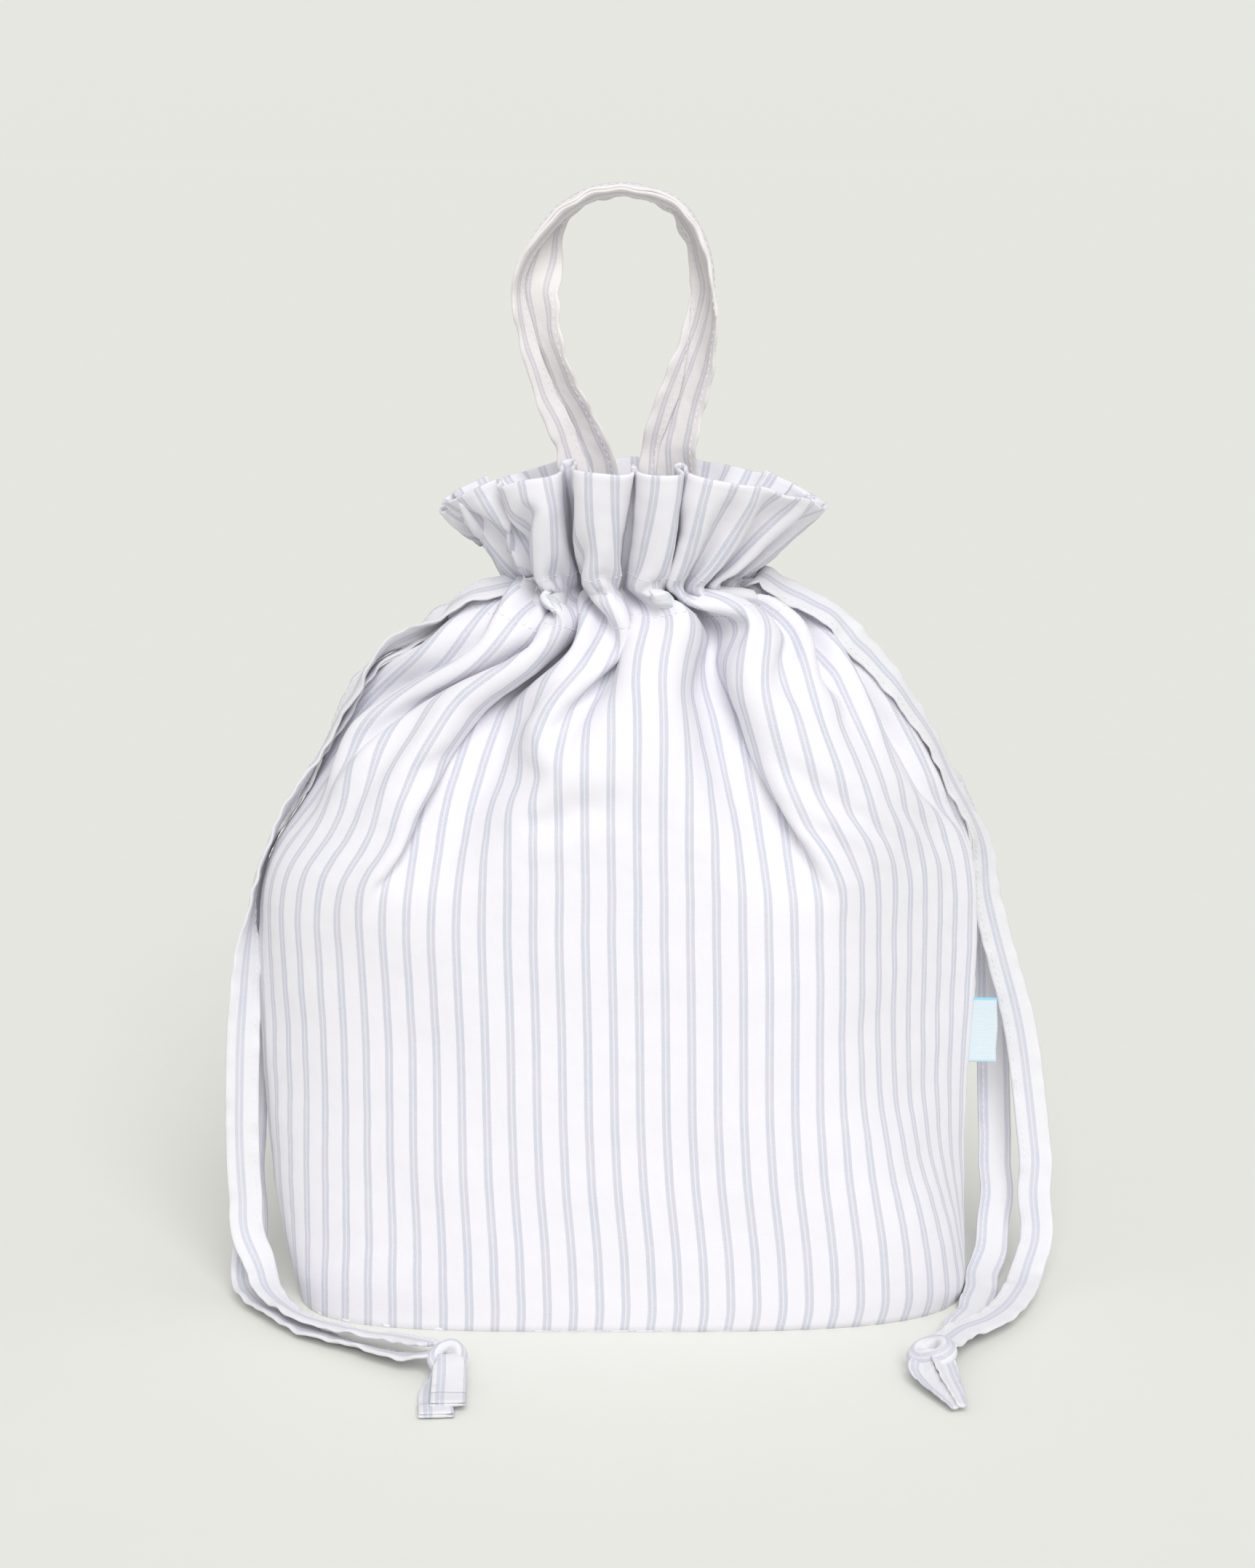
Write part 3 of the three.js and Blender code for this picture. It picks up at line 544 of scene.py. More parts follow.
def rest_lengths(p, v, neck, low):
    """Lengths the threads keep between neighbours."""
    rows, cols = p.shape[:2]
    lu = np.full((rows, cols), WIDTH / cols)
    for i in range(low + 1):
        q = p[i, :, :2]
        lu[i] = np.linalg.norm(np.roll(q, -1, 0) - q, axis=1).sum() / cols
    envelope = np.empty_like(p)
    share_u = np.arange(cols) / cols
    for i, h in enumerate(v):
        z = h if h <= BOX_TOP else np.interp((h - BOX_TOP) / SHOULDER, MERIDIAN, MERIDIAN_Z)
        if h <= BOX_TOP + SHOULDER + 1e-6:
            q, _, length = closed_outline(z)
            envelope[i, :, 0] = np.interp(share_u * length[-1], length, q[:, 0])
            envelope[i, :, 1] = np.interp(share_u * length[-1], length, q[:, 1])
            envelope[i, :, 2] = z
    lv = np.empty((rows - 1, cols))
    stripe = share_u * WIDTH / PITCH - WIDTH / PITCH + RIGHT_SEAM
    extra = 0.05 + 0.05 * np.exp(-((stripe + 5.0) / 5.0) ** 2) + 0.03 * np.abs(np.sin(share_u * TAU)) ** 2
    extra += 0.02 * np.sin(share_u * TAU * 7 + 1.0)
    for i in range(rows - 1):
        if i < neck:
            lv[i] = np.linalg.norm(envelope[i + 1] - envelope[i], axis=1)
            if i >= low:
                roll = 0.30 * smooth(v[i], BOX_TOP + SHOULDER - 40, BOX_TOP + SHOULDER - 22)
                lv[i] *= 1 + roll + extra * smooth((i - low) / (neck - low), 0.05, 0.35) * (1 - roll / 0.3)
        else:
            lv[i] = v[i + 1] - v[i]
    return lu, lv


def make_cloth(quick):
    levels = 2 if quick else 3
    plan = [(150, 8, 0.05), (60, 8, 0.04), (4, 8, 0.06)]
    for level in range(levels):
        start, u, v, neck, low = cloth_grid(level)
        if level == 0:
            p = start.copy()
            t = smooth(v, BOX_TOP, BOX_TOP + 30) * (1 - smooth(v, BOX_TOP + SHOULDER - 25, BOX_TOP + SHOULDER))
            n = grid_normals(p, True)
            p += n * (t[:, None] * 1.6 * waves(11, u[None, :], v[:, None] * 0.6, 7, 25, 80))[..., None]
        else:
            p = refine(p)
        hold = np.zeros(p.shape[:2])
        hold[0] = 1
        hold[neck] = 1
        p[0], p[neck] = start[0], start[neck]
        lu, lv = rest_lengths(start, v, neck, low)
        above = smooth(v, BOX_TOP + SHOULDER, BOX_TOP + SHOULDER + 4)
        wall = 1 - smooth(v, 120, 168)
        slope = smooth(v, 168, 190) * (1 - above)
        foot = smooth(v, 120, 160) * (1 - smooth(v, 185, 225))
        guide_k = (0.04 * above + 0.10 * wall + 0.014 * slope + 0.05 * foot)[:, None, None] + np.zeros(p.shape[:2] + (1,))
        push = (0.022 * smooth(v, 185, 225) * (1 - above))[:, None, None] + np.zeros(p.shape[:2] + (1,))
        steps, rounds, bend = plan[level]
        p = relax(p, hold, lu, lv, steps, rounds, bend, 0.03, start, guide_k, push, 0.12)
        print("cloth level", level, p.shape, "seconds", round(time.time() - start_time, 1))
    return p, u, v, neck, low


cloth, cloth_us, cloth_v, NECK_ROW, BOX_ROW = make_cloth(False)
cloth_n = grid_normals(cloth, True)


# ------------------------------------------------------------------ materials
class Nodes:
    def __init__(self, name):
        self.m = bpy.data.materials.new(name)
        self.m.use_nodes = True
        self.t = self.m.node_tree
        self.t.nodes.clear()
        self.out = self.t.nodes.new("ShaderNodeOutputMaterial")
        self.bsdf = self.t.nodes.new("ShaderNodeBsdfPrincipled")
        self.t.links.new(self.bsdf.outputs[0], self.out.inputs[0])

    def link(self, a, b):
        self.t.links.new(a, b)

    def put(self, socket, value):
        if isinstance(value, bpy.types.NodeSocket):
            self.t.links.new(value, socket)
        elif value is not None:
            socket.default_value = value

    def math(self, op, a, b=None, c=None, clamp=False):
        n = self.t.nodes.new("ShaderNodeMath")
        n.operation = op
        n.use_clamp = clamp
        for k, x in enumerate((a, b, c)):
            self.put(n.inputs[k], x)
        return n.outputs[0]

    def ramp(self, x, lo, hi, to_lo=0.0, to_hi=1.0):
        n = self.t.nodes.new("ShaderNodeMapRange")
        n.interpolation_type = "SMOOTHSTEP"
        for k, y in enumerate((x, lo, hi, to_lo, to_hi)):
            self.put(n.inputs[k], y)
        return n.outputs[0]

    def mix(self, f, a, b):
        n = self.t.nodes.new("ShaderNodeMix")
        n.data_type = "RGBA"
        self.put(n.inputs[0], f)
        self.put(n.inputs[6], a if isinstance(a, bpy.types.NodeSocket) else (*a, 1))
        self.put(n.inputs[7], b if isinstance(b, bpy.types.NodeSocket) else (*b, 1))
        return n.outputs[2]

    def cloth_uv(self):
        n = self.t.nodes.new("ShaderNodeUVMap")
        n.uv_map = "cloth"
        s = self.t.nodes.new("ShaderNodeSeparateXYZ")
        self.link(n.outputs[0], s.inputs[0])
        return n.outputs[0], s.outputs[0], s.outputs[1]

    def flat_map(self):
        n = self.t.nodes.new("ShaderNodeTexCoord")
        s = self.t.nodes.new("ShaderNodeSeparateXYZ")
        self.link(n.outputs["Object"], s.inputs[0])
        return n.outputs["Object"], self.math("MULTIPLY", s.outputs[0], 1000 / PITCH), self.math("MULTIPLY", s.outputs[1], 1000 / PITCH)

    def noise(self, vector, scale, detail=2.0, rough=0.5):
        n = self.t.nodes.new("ShaderNodeTexNoise")
        self.link(vector, n.inputs["Vector"])
        n.inputs["Scale"].default_value = scale
        n.inputs["Detail"].default_value = detail
        n.inputs["Roughness"].default_value = rough
        return n.outputs["Fac"]

    def combine(self, x, y, z=0.0):
        n = self.t.nodes.new("ShaderNodeCombineXYZ")
        for k, q in enumerate((x, y, z)):
            self.put(n.inputs[k], q)
        return n.outputs[0]

    def bump(self, height, distance, strength=1.0):
        n = self.t.nodes.new("ShaderNodeBump")
        n.inputs["Distance"].default_value = distance
        n.inputs["Strength"].default_value = strength
        self.link(height, n.inputs["Height"])
        self.link(n.outputs[0], self.bsdf.inputs["Normal"])


def striped_cotton(name, offset=0.0, base=(0.848, 0.836, 0.884), stripe_a=(0.50, 0.535, 0.635), stripe_b=(0.56, 0.545, 0.63), strength=1.0, flat=False):
    """Cotton with woven pairs of fine lines. The cloth map is in stripe pitches across and along."""
    k = Nodes(name)
    vec, u, v = k.flat_map() if flat else k.cloth_uv()
    u = k.math("ADD", u, offset)
    # threads, 0.3 mm apart
    threads = PITCH / 0.30
    long_noise = k.noise(k.combine(k.math("MULTIPLY", u, threads * 0.9), k.math("MULTIPLY", v, 1.1)), 1.0, 2, 0.6)
    cross_noise = k.noise(k.combine(k.math("MULTIPLY", u, 1.1), k.math("MULTIPLY", v, threads * 0.9)), 1.0, 2, 0.6)
    blotch = k.noise(k.combine(k.math("MULTIPLY", u, 1.6), k.math("MULTIPLY", v, 0.55)), 1.0, 3, 0.6)
    fleck = k.noise(k.combine(k.math("MULTIPLY", u, 17.0), k.math("MULTIPLY", v, 17.0)), 1.0, 2, 0.7)
    # distance from the middle of the pair of lines, in millimetres, a little unsteady
    wander = k.math("MULTIPLY", k.math("SUBTRACT", k.noise(k.combine(k.math("MULTIPLY", u, 3.0), k.math("MULTIPLY", v, 9.0)), 1.0, 3, 0.7), 0.5), 0.30)
    x = k.math("MULTIPLY", k.math("SUBTRACT", k.math("FRACT", u), 0.5), PITCH)
    x = k.math("ADD", x, wander)
    d = k.math("ABSOLUTE", k.math("SUBTRACT", k.math("ABSOLUTE", x), 0.95))
    line = k.math("MAXIMUM", k.ramp(d, 0.84, 0.56), k.ramp(k.math("ABSOLUTE", x), 0.5, 0.3, 0.0, 0.38))
    # the coloured warp shows only where it passes over the white weft
    wu = k.math("SINE", k.math("MULTIPLY", u, threads * math.pi))
    wv = k.math("SINE", k.math("MULTIPLY", v, threads * math.pi))
    checker = k.math("MULTIPLY", wu, wv)
    over = k.ramp(checker, -0.35, 0.35, 0.55, 1.0)
    line = k.math("MULTIPLY", line, over)
    line = k.math("MULTIPLY", line, k.ramp(fleck, 0.32, 0.68, 0.62, 1.05))
    line = k.math("MULTIPLY", line, strength, clamp=True)
    blue = k.mix(k.ramp(blotch, 0.35, 0.65), stripe_a, stripe_b)
    shade = k.math("ADD", k.math("MULTIPLY", k.math("SUBTRACT", long_noise, 0.5), 0.07), k.math("MULTIPLY", k.math("SUBTRACT", cross_noise, 0.5), 0.07))
    white = k.mix(k.math("ADD", 0.5, k.math("MULTIPLY", shade, 5.0), clamp=True), [c * 0.965 for c in base], [min(1, c * 1.02) for c in base])
    white = k.mix(k.ramp(blotch, 0.3, 0.8, 0.0, 0.35), white, (base[0] * 0.99, base[1] * 0.975, base[2] * 0.985))
    k.put(k.bsdf.inputs["Base Color"], k.mix(line, white, blue))
    k.bsdf.inputs["Roughness"].default_value = 0.92
    k.bsdf.inputs["Sheen Weight"].default_value = 0.15
    k.bsdf.inputs["Sheen Roughness"].default_value = 0.6
    k.bsdf.inputs["Specular IOR Level"].default_value = 0.25
    height = k.math("ADD", k.math("MULTIPLY", checker, 0.35), k.math("ADD", long_noise, cross_noise))
    k.bump(height, 0.00012, 0.7)
    return k.m


cotton = striped_cotton("striped_cotton", offset=0.026)

tape_cotton = striped_cotton("tape_cotton", offset=0.5, base=(0.785, 0.782, 0.812))
strap_cotton = striped_cotton("strap_cotton", offset=0.5, base=(0.83, 0.80, 0.795), stripe_a=(0.50, 0.51, 0.58), stripe_b=(0.55, 0.53, 0.58), strength=0.9)
inner_cotton = striped_cotton("inner_cotton", offset=0.3, base=(0.80, 0.80, 0.82), strength=0.7)


def thread_material():
    k = Nodes("sewing_thread")
    tc = k.t.nodes.new("ShaderNodeTexCoord")
    f = k.noise(tc.outputs["Object"], 900.0, 2, 0.5)
    k.put(k.bsdf.inputs["Base Color"], k.mix(f, (0.80, 0.80, 0.84), (0.90, 0.90, 0.93)))
    k.bsdf.inputs["Roughness"].default_value = 0.7
    k.bsdf.inputs["Sheen Weight"].default_value = 0.1
    return k.m


thread = thread_material()


def surf(u, v, off=0.0):
    """A point on the outer cloth, and its outward normal, at cloth positions u and v in millimetres."""
    u, v = np.broadcast_arrays(np.asarray(u, float), np.asarray(v, float))
    rows, cols = cloth.shape[:2]
    x = (u % WIDTH) / WIDTH * cols
    i1 = np.clip(np.searchsorted(cloth_v, v, side="right"), 1, rows - 1)
    i0 = i1 - 1
    fy = np.clip((v - cloth_v[i0]) / (cloth_v[i1] - cloth_v[i0]), 0, 1)[..., None]
    j0 = np.floor(x).astype(int) % cols
    j1 = (j0 + 1) % cols
    fx = (x - np.floor(x))[..., None]

    def mix(g):
        return (g[i0, j0] * (1 - fx) + g[i0, j1] * fx) * (1 - fy) + (g[i1, j0] * (1 - fx) + g[i1, j1] * fx) * fy

    n = unit(mix(cloth_n))
    return mix(cloth) + n * off, n


def dashes(build, points, normals, pitch=3.2, length=2.2, wide=0.34, lift=0.05, seed=1):
    """A line of hand-fine stitches laid along points on a surface."""
    rng = np.random.default_rng(seed)
    run = np.concatenate([[0], np.cumsum(np.linalg.norm(np.diff(points, axis=0), axis=1))])
    at = 0.5
    while at + length < run[-1]:
        ln = length * rng.uniform(0.88, 1.1)
        s = at + np.linspace(0, 1, 5) * ln
        c = np.stack([np.interp(s, run, points[:, k]) for k in range(3)], -1)
        n = unit(np.stack([np.interp(s, run, normals[:, k]) for k in range(3)], -1))
        t = unit(np.gradient(c, axis=0))
        w = unit(np.cross(n, t))
        h = np.array([-0.20, 0.12, 0.20, 0.12, -0.20])[:, None] + lift
        c = c + n * h
        ring = []
        for a in np.linspace(0, TAU, 7)[:-1]:
            ring.append(c + w * math.cos(a) * wide / 2 + n * math.sin(a) * wide / 2)
        ring = np.stack(ring, 1)
        f = grid_faces(5, 6, True).tolist()
        build.v.append(ring.reshape(-1, 3))
        build.uv.append(np.zeros((30, 2)))
        build.f += [[q + build.n for q in face[::-1]] for face in f]
        build.f += [[build.n + q for q in range(6)], [build.n + 24 + q for q in range(5, -1, -1)]]
        build.m += [0] * (len(f) + 2)
        build.n += 30
        at += pitch * rng.uniform(0.93, 1.07)


# ------------------------------------------------------------------ outer cloth, front and back
# the left side stands fuller half way up the shoulder and is drawn in above the box
full = -4.5 * np.exp(-((cloth[..., 2] - 234) / 15) ** 2) + 3.5 * np.exp(-((cloth[..., 2] - 198) / 17) ** 2)
cloth[..., 0] += full * smooth(-cloth[..., 0], 80, 112)
# the side seams, drawn in a little
for seam in (0, cloth.shape[1] // 2):
    for d, deep in ((0, 0.9), (1, 0.35), (-1, 0.35)):
        col = (seam + d) % cloth.shape[1]
        cloth[:NECK_ROW - 4, col] -= cloth_n[:NECK_ROW - 4, col] * deep
# the soft unevenness of cloth that has been folded and handled
uu, vv = np.meshgrid(np.arange(cloth.shape[1]) / cloth.shape[1] * WIDTH, cloth_v)
rough = 0.22 * waves(21, uu, vv, 9, 18, 60) + 0.07 * waves(22, uu, vv, 9, 5, 12)
rough *= smooth(vv, 2, 20)
cloth += cloth_n * rough[..., None]
cloth_n = grid_normals(cloth, True)


def cloth_piece(name, c0, c1):
    """The cloth between two columns, as a piece with real thickness."""
    cols = np.arange(c0, c1 + 1)
    idx = cols % cloth.shape[1]
    p, n = cloth[:, idx], cloth_n[:, idx]
    u = np.broadcast_to(cols / cloth.shape[1] * WIDTH / PITCH, p.shape[:2])
    v = np.broadcast_to((cloth_v / PITCH)[:, None], p.shape[:2])
    thick = np.full(p.shape[:2], 0.8)
    thick[NECK_ROW:] = 1.2
    thick[-1] = 1.5
    b = Build()
    add_shell(b, p, n, thick, u, v)
    return b.done(name, [cotton])


half = cloth.shape[1] // 2
front = cloth_piece("outer_front", half, 2 * half)
back = cloth_piece("outer_back", 0, half)
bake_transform(front)
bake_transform(back)
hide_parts("outer_front_panel", "shoulder_front", "channel_front", "frill_front")
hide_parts("outer_back_panel", "shoulder_back", "channel_back", "frill_back")
NECK_V = BOX_TOP + SHOULDER


def lining_band(name, side, v0, v1, off, thick, material, nodes, rows=9):
    """A band inside the neck that follows the gathers."""
    u0 = WIDTH / 2 if side == "front" else 0.0
    uu = np.linspace(u0 + 1.0, u0 + WIDTH / 2 - 1.0, 220)
    vv = np.linspace(v0, v1, rows)
    p, n = surf(uu[None, :], vv[:, None])
    # smooth the band a little, as it is a second layer
    for _ in range(2):
        p[:, 1:-1] = p[:, 1:-1] * 0.5 + (p[:, :-2] + p[:, 2:]) * 0.25
    n = grid_normals(p)
    p = p - n * off
    n = grid_normals(p)
    b = Build()
    add_shell(b, p, n, thick, np.broadcast_to(uu / PITCH, p.shape[:2]), np.broadcast_to((vv / PITCH)[:, None], p.shape[:2]))
    ob = b.done(name, [material])
    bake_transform(ob)
    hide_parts(*nodes)
    return ob


for side in ("front", "back"):
    lining_band("left_run_" + side, side, NECK_V - 6.2, NECK_V + 6.2, 1.10, 0.4, tape_cotton, ["left_tape_run_" + side])
    lining_band("right_run_" + side, side, NECK_V - 6.2, NECK_V + 6.2, 1.62, 0.4, tape_cotton, ["right_tape_run_" + side])
    lining_band("facing_" + side, side, NECK_V - 20, NECK_V + 9, 2.2, 0.5, inner_cotton, ["channel_facing_" + side], 17)
    stitch = Build()
    u0 = WIDTH / 2 if side == "front" else 0.0
    uu = np.linspace(u0, u0 + WIDTH / 2, 900)
    pts, nrm = surf(uu, NECK_V - 20.0, 0.42)
    dashes(stitch, pts, nrm, 3.0, 2.0, 0.32, 0.02, 5)
    pts, nrm = surf(uu, NECK_V + 7.5, 0.62)
    dashes(stitch, pts, nrm, 3.0, 2.0, 0.30, 0.0, 6)
    ob = stitch.done("channel_stitches_" + side, [thread])
    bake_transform(ob)

# ------------------------------------------------------------------ tapes and strap
from mathutils.bvhtree import BVHTree

outside = (cloth + cloth_n * 0.45)
tree = BVHTree.FromPolygons(outside.reshape(-1, 3).tolist(), grid_faces(cloth.shape[0], cloth.shape[1], True).tolist())


def rest_on_cloth(p, clear, snap=None):
    """Moves points of a line to lie clear of the cloth, or on it where they are near."""
    out = p.copy()
    nn = np.zeros_like(p)
    for i, q in enumerate(p):
        loc, n, _, dist = tree.find_nearest(q.tolist())
        loc, n = np.array(loc), np.array(n)
        gap = float((q - loc) @ n)
        if dist > 25:
            continue
        if gap < clear or (snap is not None and gap < snap[i]):
            out[i] = loc + n * clear
        nn[i] = n * max(0.0, 1 - abs(gap) / 8)
    return out, nn


def smoothed(p, times):
    q = p.copy()
    for _ in range(times):
        q[1:-1] = q[1:-1] * 0.5 + (q[:-2] + q[2:]) * 0.25
    return q


def band(build, c, w, n, width, thick, shift=0.0, stitch=(), wave=(0.35, 9.0, 1), fold=None, ends=(0.0, 0.0), material=0, across=11, taper=None):
    """A flat folded tape along centres c, with its width along w and its face along n."""
    count = len(c)
    run = np.concatenate([[0], np.cumsum(np.linalg.norm(np.diff(c, axis=0), axis=1))])
    lane = np.sin(np.linspace(-math.pi / 2, math.pi / 2, across)) * 0.5
    lane = lane * 0.55 + np.linspace(-0.5, 0.5, across) * 0.45
    edge = np.abs(lane * 2) ** 2
    rng = np.random.default_rng(wave[2])
    ph = rng.uniform(0, TAU, 6)
    ripple = sum(np.sin(run * TAU / (wave[1] * k) + ph[i]) for i, k in enumerate((1.0, 1.37, 0.71))) / 2
    ripple2 = sum(np.sin(run * TAU / (wave[1] * k) + ph[3 + i]) for i, k in enumerate((1.13, 0.83, 1.6))) / 2
    scale = np.ones(count) if taper is None else taper
    x = lane[None, :] * width * scale[:, None]
    h = wave[0] * (np.where(lane < 0, 1, 0)[None, :] * ripple[:, None] + np.where(lane > 0, 1, 0)[None, :] * ripple2[:, None]) * edge[None, :]
    if fold is None:
        px = c[:, None, :] + w[:, None, :] * x[..., None] + n[:, None, :] * h[..., None]
        nn = np.broadcast_to(n[:, None, :], px.shape)
    else:
        angle = np.broadcast_to(np.asarray(fold, float), (count,))[:, None]
        soft = np.sqrt(x ** 2 + 1.1 ** 2) - 1.1
        px = c[:, None, :] + w[:, None, :] * (x * np.cos(angle))[..., None] + n[:, None, :] * (soft * np.sin(angle) + h)[..., None]
        nn = grid_normals(px)
        nn = nn * np.sign((nn * n[:, None, :]).sum(-1, keepdims=True))
    t = np.full((count, across), thick / 2)
    t *= (1 - 0.45 * np.abs(lane * 2) ** 6)[None, :]
    for line in stitch:
        t -= 0.16 * np.exp(-((x - line) / 0.7) ** 2)
    t += 0.05 * waves(wave[2] + 7, run[:, None], x, 5, 4, 10)
    top, low = px + nn * t[..., None], px - nn * t[..., None]
    left = px[:, :1] - w[:, None, :] * (thick * 0.22)
    right = px[:, -1:] + w[:, None, :] * (thick * 0.22)
    ring = np.concatenate([top, right, low[:, ::-1], left], 1)
    u = np.concatenate([x, x[:, -1:] + 0.3, x[:, ::-1], x[:, :1] - 0.3], 1) / PITCH + shift
    v = np.broadcast_to((run / PITCH)[:, None], u.shape)
    m = ring.shape[1]
    f = grid_faces(count, m, True)
    base = build.n
    build.add(ring, f, np.stack([u, v], -1), material)
    for end, rev in ((0, True), (count - 1, False)):
        ids = [base + end * m + j for j in range(m)]
        k = across
        for j in range(k - 1):
            a, b2, c2, d2 = j, j + 1, 2 * k - j - 1, 2 * k - j
            quad = [ids[a], ids[b2], ids[c2], ids[d2]]
            build.f.append(quad[::-1] if rev else quad)
            build.m.append(material)
        for tri in ([ids[k - 1], ids[k], ids[k + 1]], [ids[0], ids[2 * k], ids[2 * k + 1]]):
            if tri[0] == ids[0]:
                tri = [ids[2 * k], ids[2 * k + 1], ids[0]]
            build.f.append(tri[::-1] if rev else tri)
            build.m.append(material)
    # the faces are turned outwards afterwards, by fix_normals
    return px, nn, run, x


def frames(c, w):
    t = unit(np.gradient(c, axis=0))
    w = unit(w - (w * t).sum(-1, keepdims=True) * t)
    return t, w, unit(np.cross(t, w))


def fix_normals(ob):
    import bmesh
    bm = bmesh.new()
    bm.from_mesh(ob.data)
    bmesh.ops.recalc_face_normals(bm, faces=bm.faces)
    bm.to_mesh(ob.data)
    bm.free()


STRANDS = {
    "left_strand_front": ("left_drawstring", [
        (-43, -10.2, 281, 0, 1, 0), (-45.6, -12, 281, -0.1, 0.9, 0.3), (-54, -16, 278, -0.1, 0.9, 0.3), (-66, -16.5, 273, -0.1, 0.9, 0.3), (-82, -13, 264.5, 0, 1, 0.1),
        (-97, -9, 254.6, 0, 1, 0), (-109.5, -7.5, 239.6, 0, 1, 0), (-121, -8, 222, 0, 1, 0), (-131.5, -9, 203, 0, 1, 0),
        (-141, -10, 183, 0.03, 1, 0), (-146.9, -10.5, 170, 0.03, 1, 0), (-149, -11, 157, 0.2, 1, 0), (-150.5, -13, 139, 0.7, 0.7, 0),
        (-152.5, -16, 110, 0.96, 0.3, 0), (-153.6, -19, 78, 1, 0.15, 0), (-153.4, -22, 50, 1, 0.1, 0), (-151.2, -26, 28, 1, 0.08, 0),
        (-148.0, -32.5, 14.5, 0.95, 0.25, -0.05), (-144.2, -42, 8.6, 0.85, 0.5, -0.12), (-138.0, -53, 6.8, 0.7, 0.66, -0.2), (-130, -63, 6.2, 0.56, 0.8, -0.24),
        (-120, -72.5, 5.6, 0.46, 0.85, -0.26), (-104.4, -81, 5.2, 0.42, 0.87, -0.27), (-90, -87.5, 6.2, 0.42, 0.87, -0.27), (-80.5, -97, 8.0, 0.4, 0.88, -0.27), (-74.5, -104, 9.0, 0.35, 0.9, -0.25)]),
    "left_strand_back": ("left_drawstring", [
        (-43, 7.4, 281, 0, 1, 0), (-45.6, 7, 281, 0, 1, 0.1), (-54, 1, 280, 0, 1, 0.1), (-66, -6, 275.6, 0, 1, 0), (-83, -6, 265, 0, 1, 0),
        (-97, -5, 253.6, 0, 1, 0), (-109.5, -4, 238.6, 0, 1, 0), (-121, -3, 221, 0, 1, 0), (-131, 1, 203, 0, 1, 0),
        (-140.6, 7, 184, 0.03, 1, 0), (-145.9, 9.5, 172, 0.03, 1, 0), (-148, 9, 161, 0.1, 1, 0), (-150, 7, 139, 0.6, 0.8, 0),
        (-151, 4, 110, 0.95, 0.3, 0), (-152, 0, 78, 1, 0.2, 0), (-153.4, -4, 48, 1, 0.1, 0), (-153.8, -10, 24, 1, 0.1, 0),
        (-153.2, -20, 9.5, 0.97, 0.2, -0.03), (-150.6, -33, 4.0, 0.88, 0.45, -0.1), (-143.6, -47, 2.6, 0.76, 0.6, -0.18), (-134, -60, 2.4, 0.62, 0.75, -0.22),
        (-121.5, -74, 2.4, 0.52, 0.82, -0.24), (-109, -85.5, 2.5, 0.5, 0.83, -0.25), (-96, -95, 2.8, 0.48, 0.84, -0.25), (-84, -104.5, 4.6, 0.42, 0.87, -0.25), (-75, -109.5, 6.0, 0.35, 0.9, -0.25)]),
    "right_strand_front": ("right_drawstring", [
        (43, -12, 281.3, 0.3, 0.8, 0.4), (45.6, -13, 282, 0.45, 0.6, 0.6), (57, -15, 283.2, 0.5, 0.55, 0.66), (70, -16, 278.5, 0.54, 0.5, 0.66), (84, -17, 267, 0.58, 0.48, 0.64),
        (98, -17, 253.5, 0.6, 0.5, 0.6), (110, -15, 239.5, 0.6, 0.55, 0.5), (120, -11, 223.5, 0.5, 0.65, 0.4), (128.3, -5, 206, 0.45, 0.8, 0.25), (134.0, 2.5, 184, 0.58, 0.8, 0.1),
        (140.0, 10.0, 157, 0.92, 0.4, 0), (147.8, 12.5, 128, 0.96, 0.28, 0), (155.6, 12, 100, 1, 0.1, 0), (160, 7, 68, 1, -0.1, 0),
        (162.5, 0, 38, 1, -0.15, 0), (161, -9, 18, 1, -0.2, -0.02), (157.2, -22, 8.6, 0.96, -0.28, -0.06), (151.6, -39, 5.6, 0.92, -0.38, -0.1),
        (146.5, -52, 5.4, 0.9, -0.42, -0.12), (140, -64, 5.6, 0.86, -0.5, -0.12), (131.5, -74, 6.0, 0.82, -0.56, -0.12), (122.7, -85.6, 6.4, 0.82, -0.56, -0.1), (116.5, -97.5, 7.6, 0.82, -0.56, -0.06), (113.5, -103.5, 8.2, 0.82, -0.56, 0)]),
    "right_strand_back": ("right_drawstring", [
        (43, 11.5, 279.7, 0, 1, 0), (45.6, 12, 280, 0, 1, 0), (56, 13, 280.2, 0, 1, 0), (68, 14, 275.6, 0, 1, 0), (84, 15, 264.2, 0, 1, 0),
        (98, 16, 251, 0, 1, 0), (110, 17, 237, 0, 1, 0), (120, 19, 220.5, 0, 1, 0), (129, 22, 202.5, 0.05, 1, 0), (137.8, 25, 183, 0.1, 1, 0),
        (141.8, 26.5, 171, 0.2, 1, 0), (143.2, 28, 159, 0.5, 0.85, 0), (144.5, 29.5, 132, 0.9, 0.4, 0), (146, 29, 104, 1, 0.1, 0),
        (147.2, 26, 74, 1, 0, 0), (147.6, 20, 46, 1, 0, 0), (146.8, 10, 22, 1, 0, 0), (144.6, -3, 8.5, 1, -0.08, -0.02), (140.5, -18, 3.2, 0.97, -0.2, -0.05),
        (137, -34, 2.4, 0.95, -0.28, -0.06), (132.8, -49, 2.3, 0.92, -0.36, -0.06), (127, -65, 2.5, 0.86, -0.5, -0.08), (120.5, -80, 3.2, 0.82, -0.56, -0.08), (115, -92, 4.6, 0.82, -0.56, -0.05), (111.5, -100, 5.6, 0.82, -0.56, 0)]),
}
# how far a tape's far edge stands up next to the neck, its near edge further down, and what it lies over there
LIFT = {"left_strand_front": (0.2, -0.34, 1.9), "left_strand_back": (0.0, 0.08, 0.0), "right_strand_front": (0.0, 0.0, 0.0), "right_strand_back": (0.0, 0.0, 0.0)}


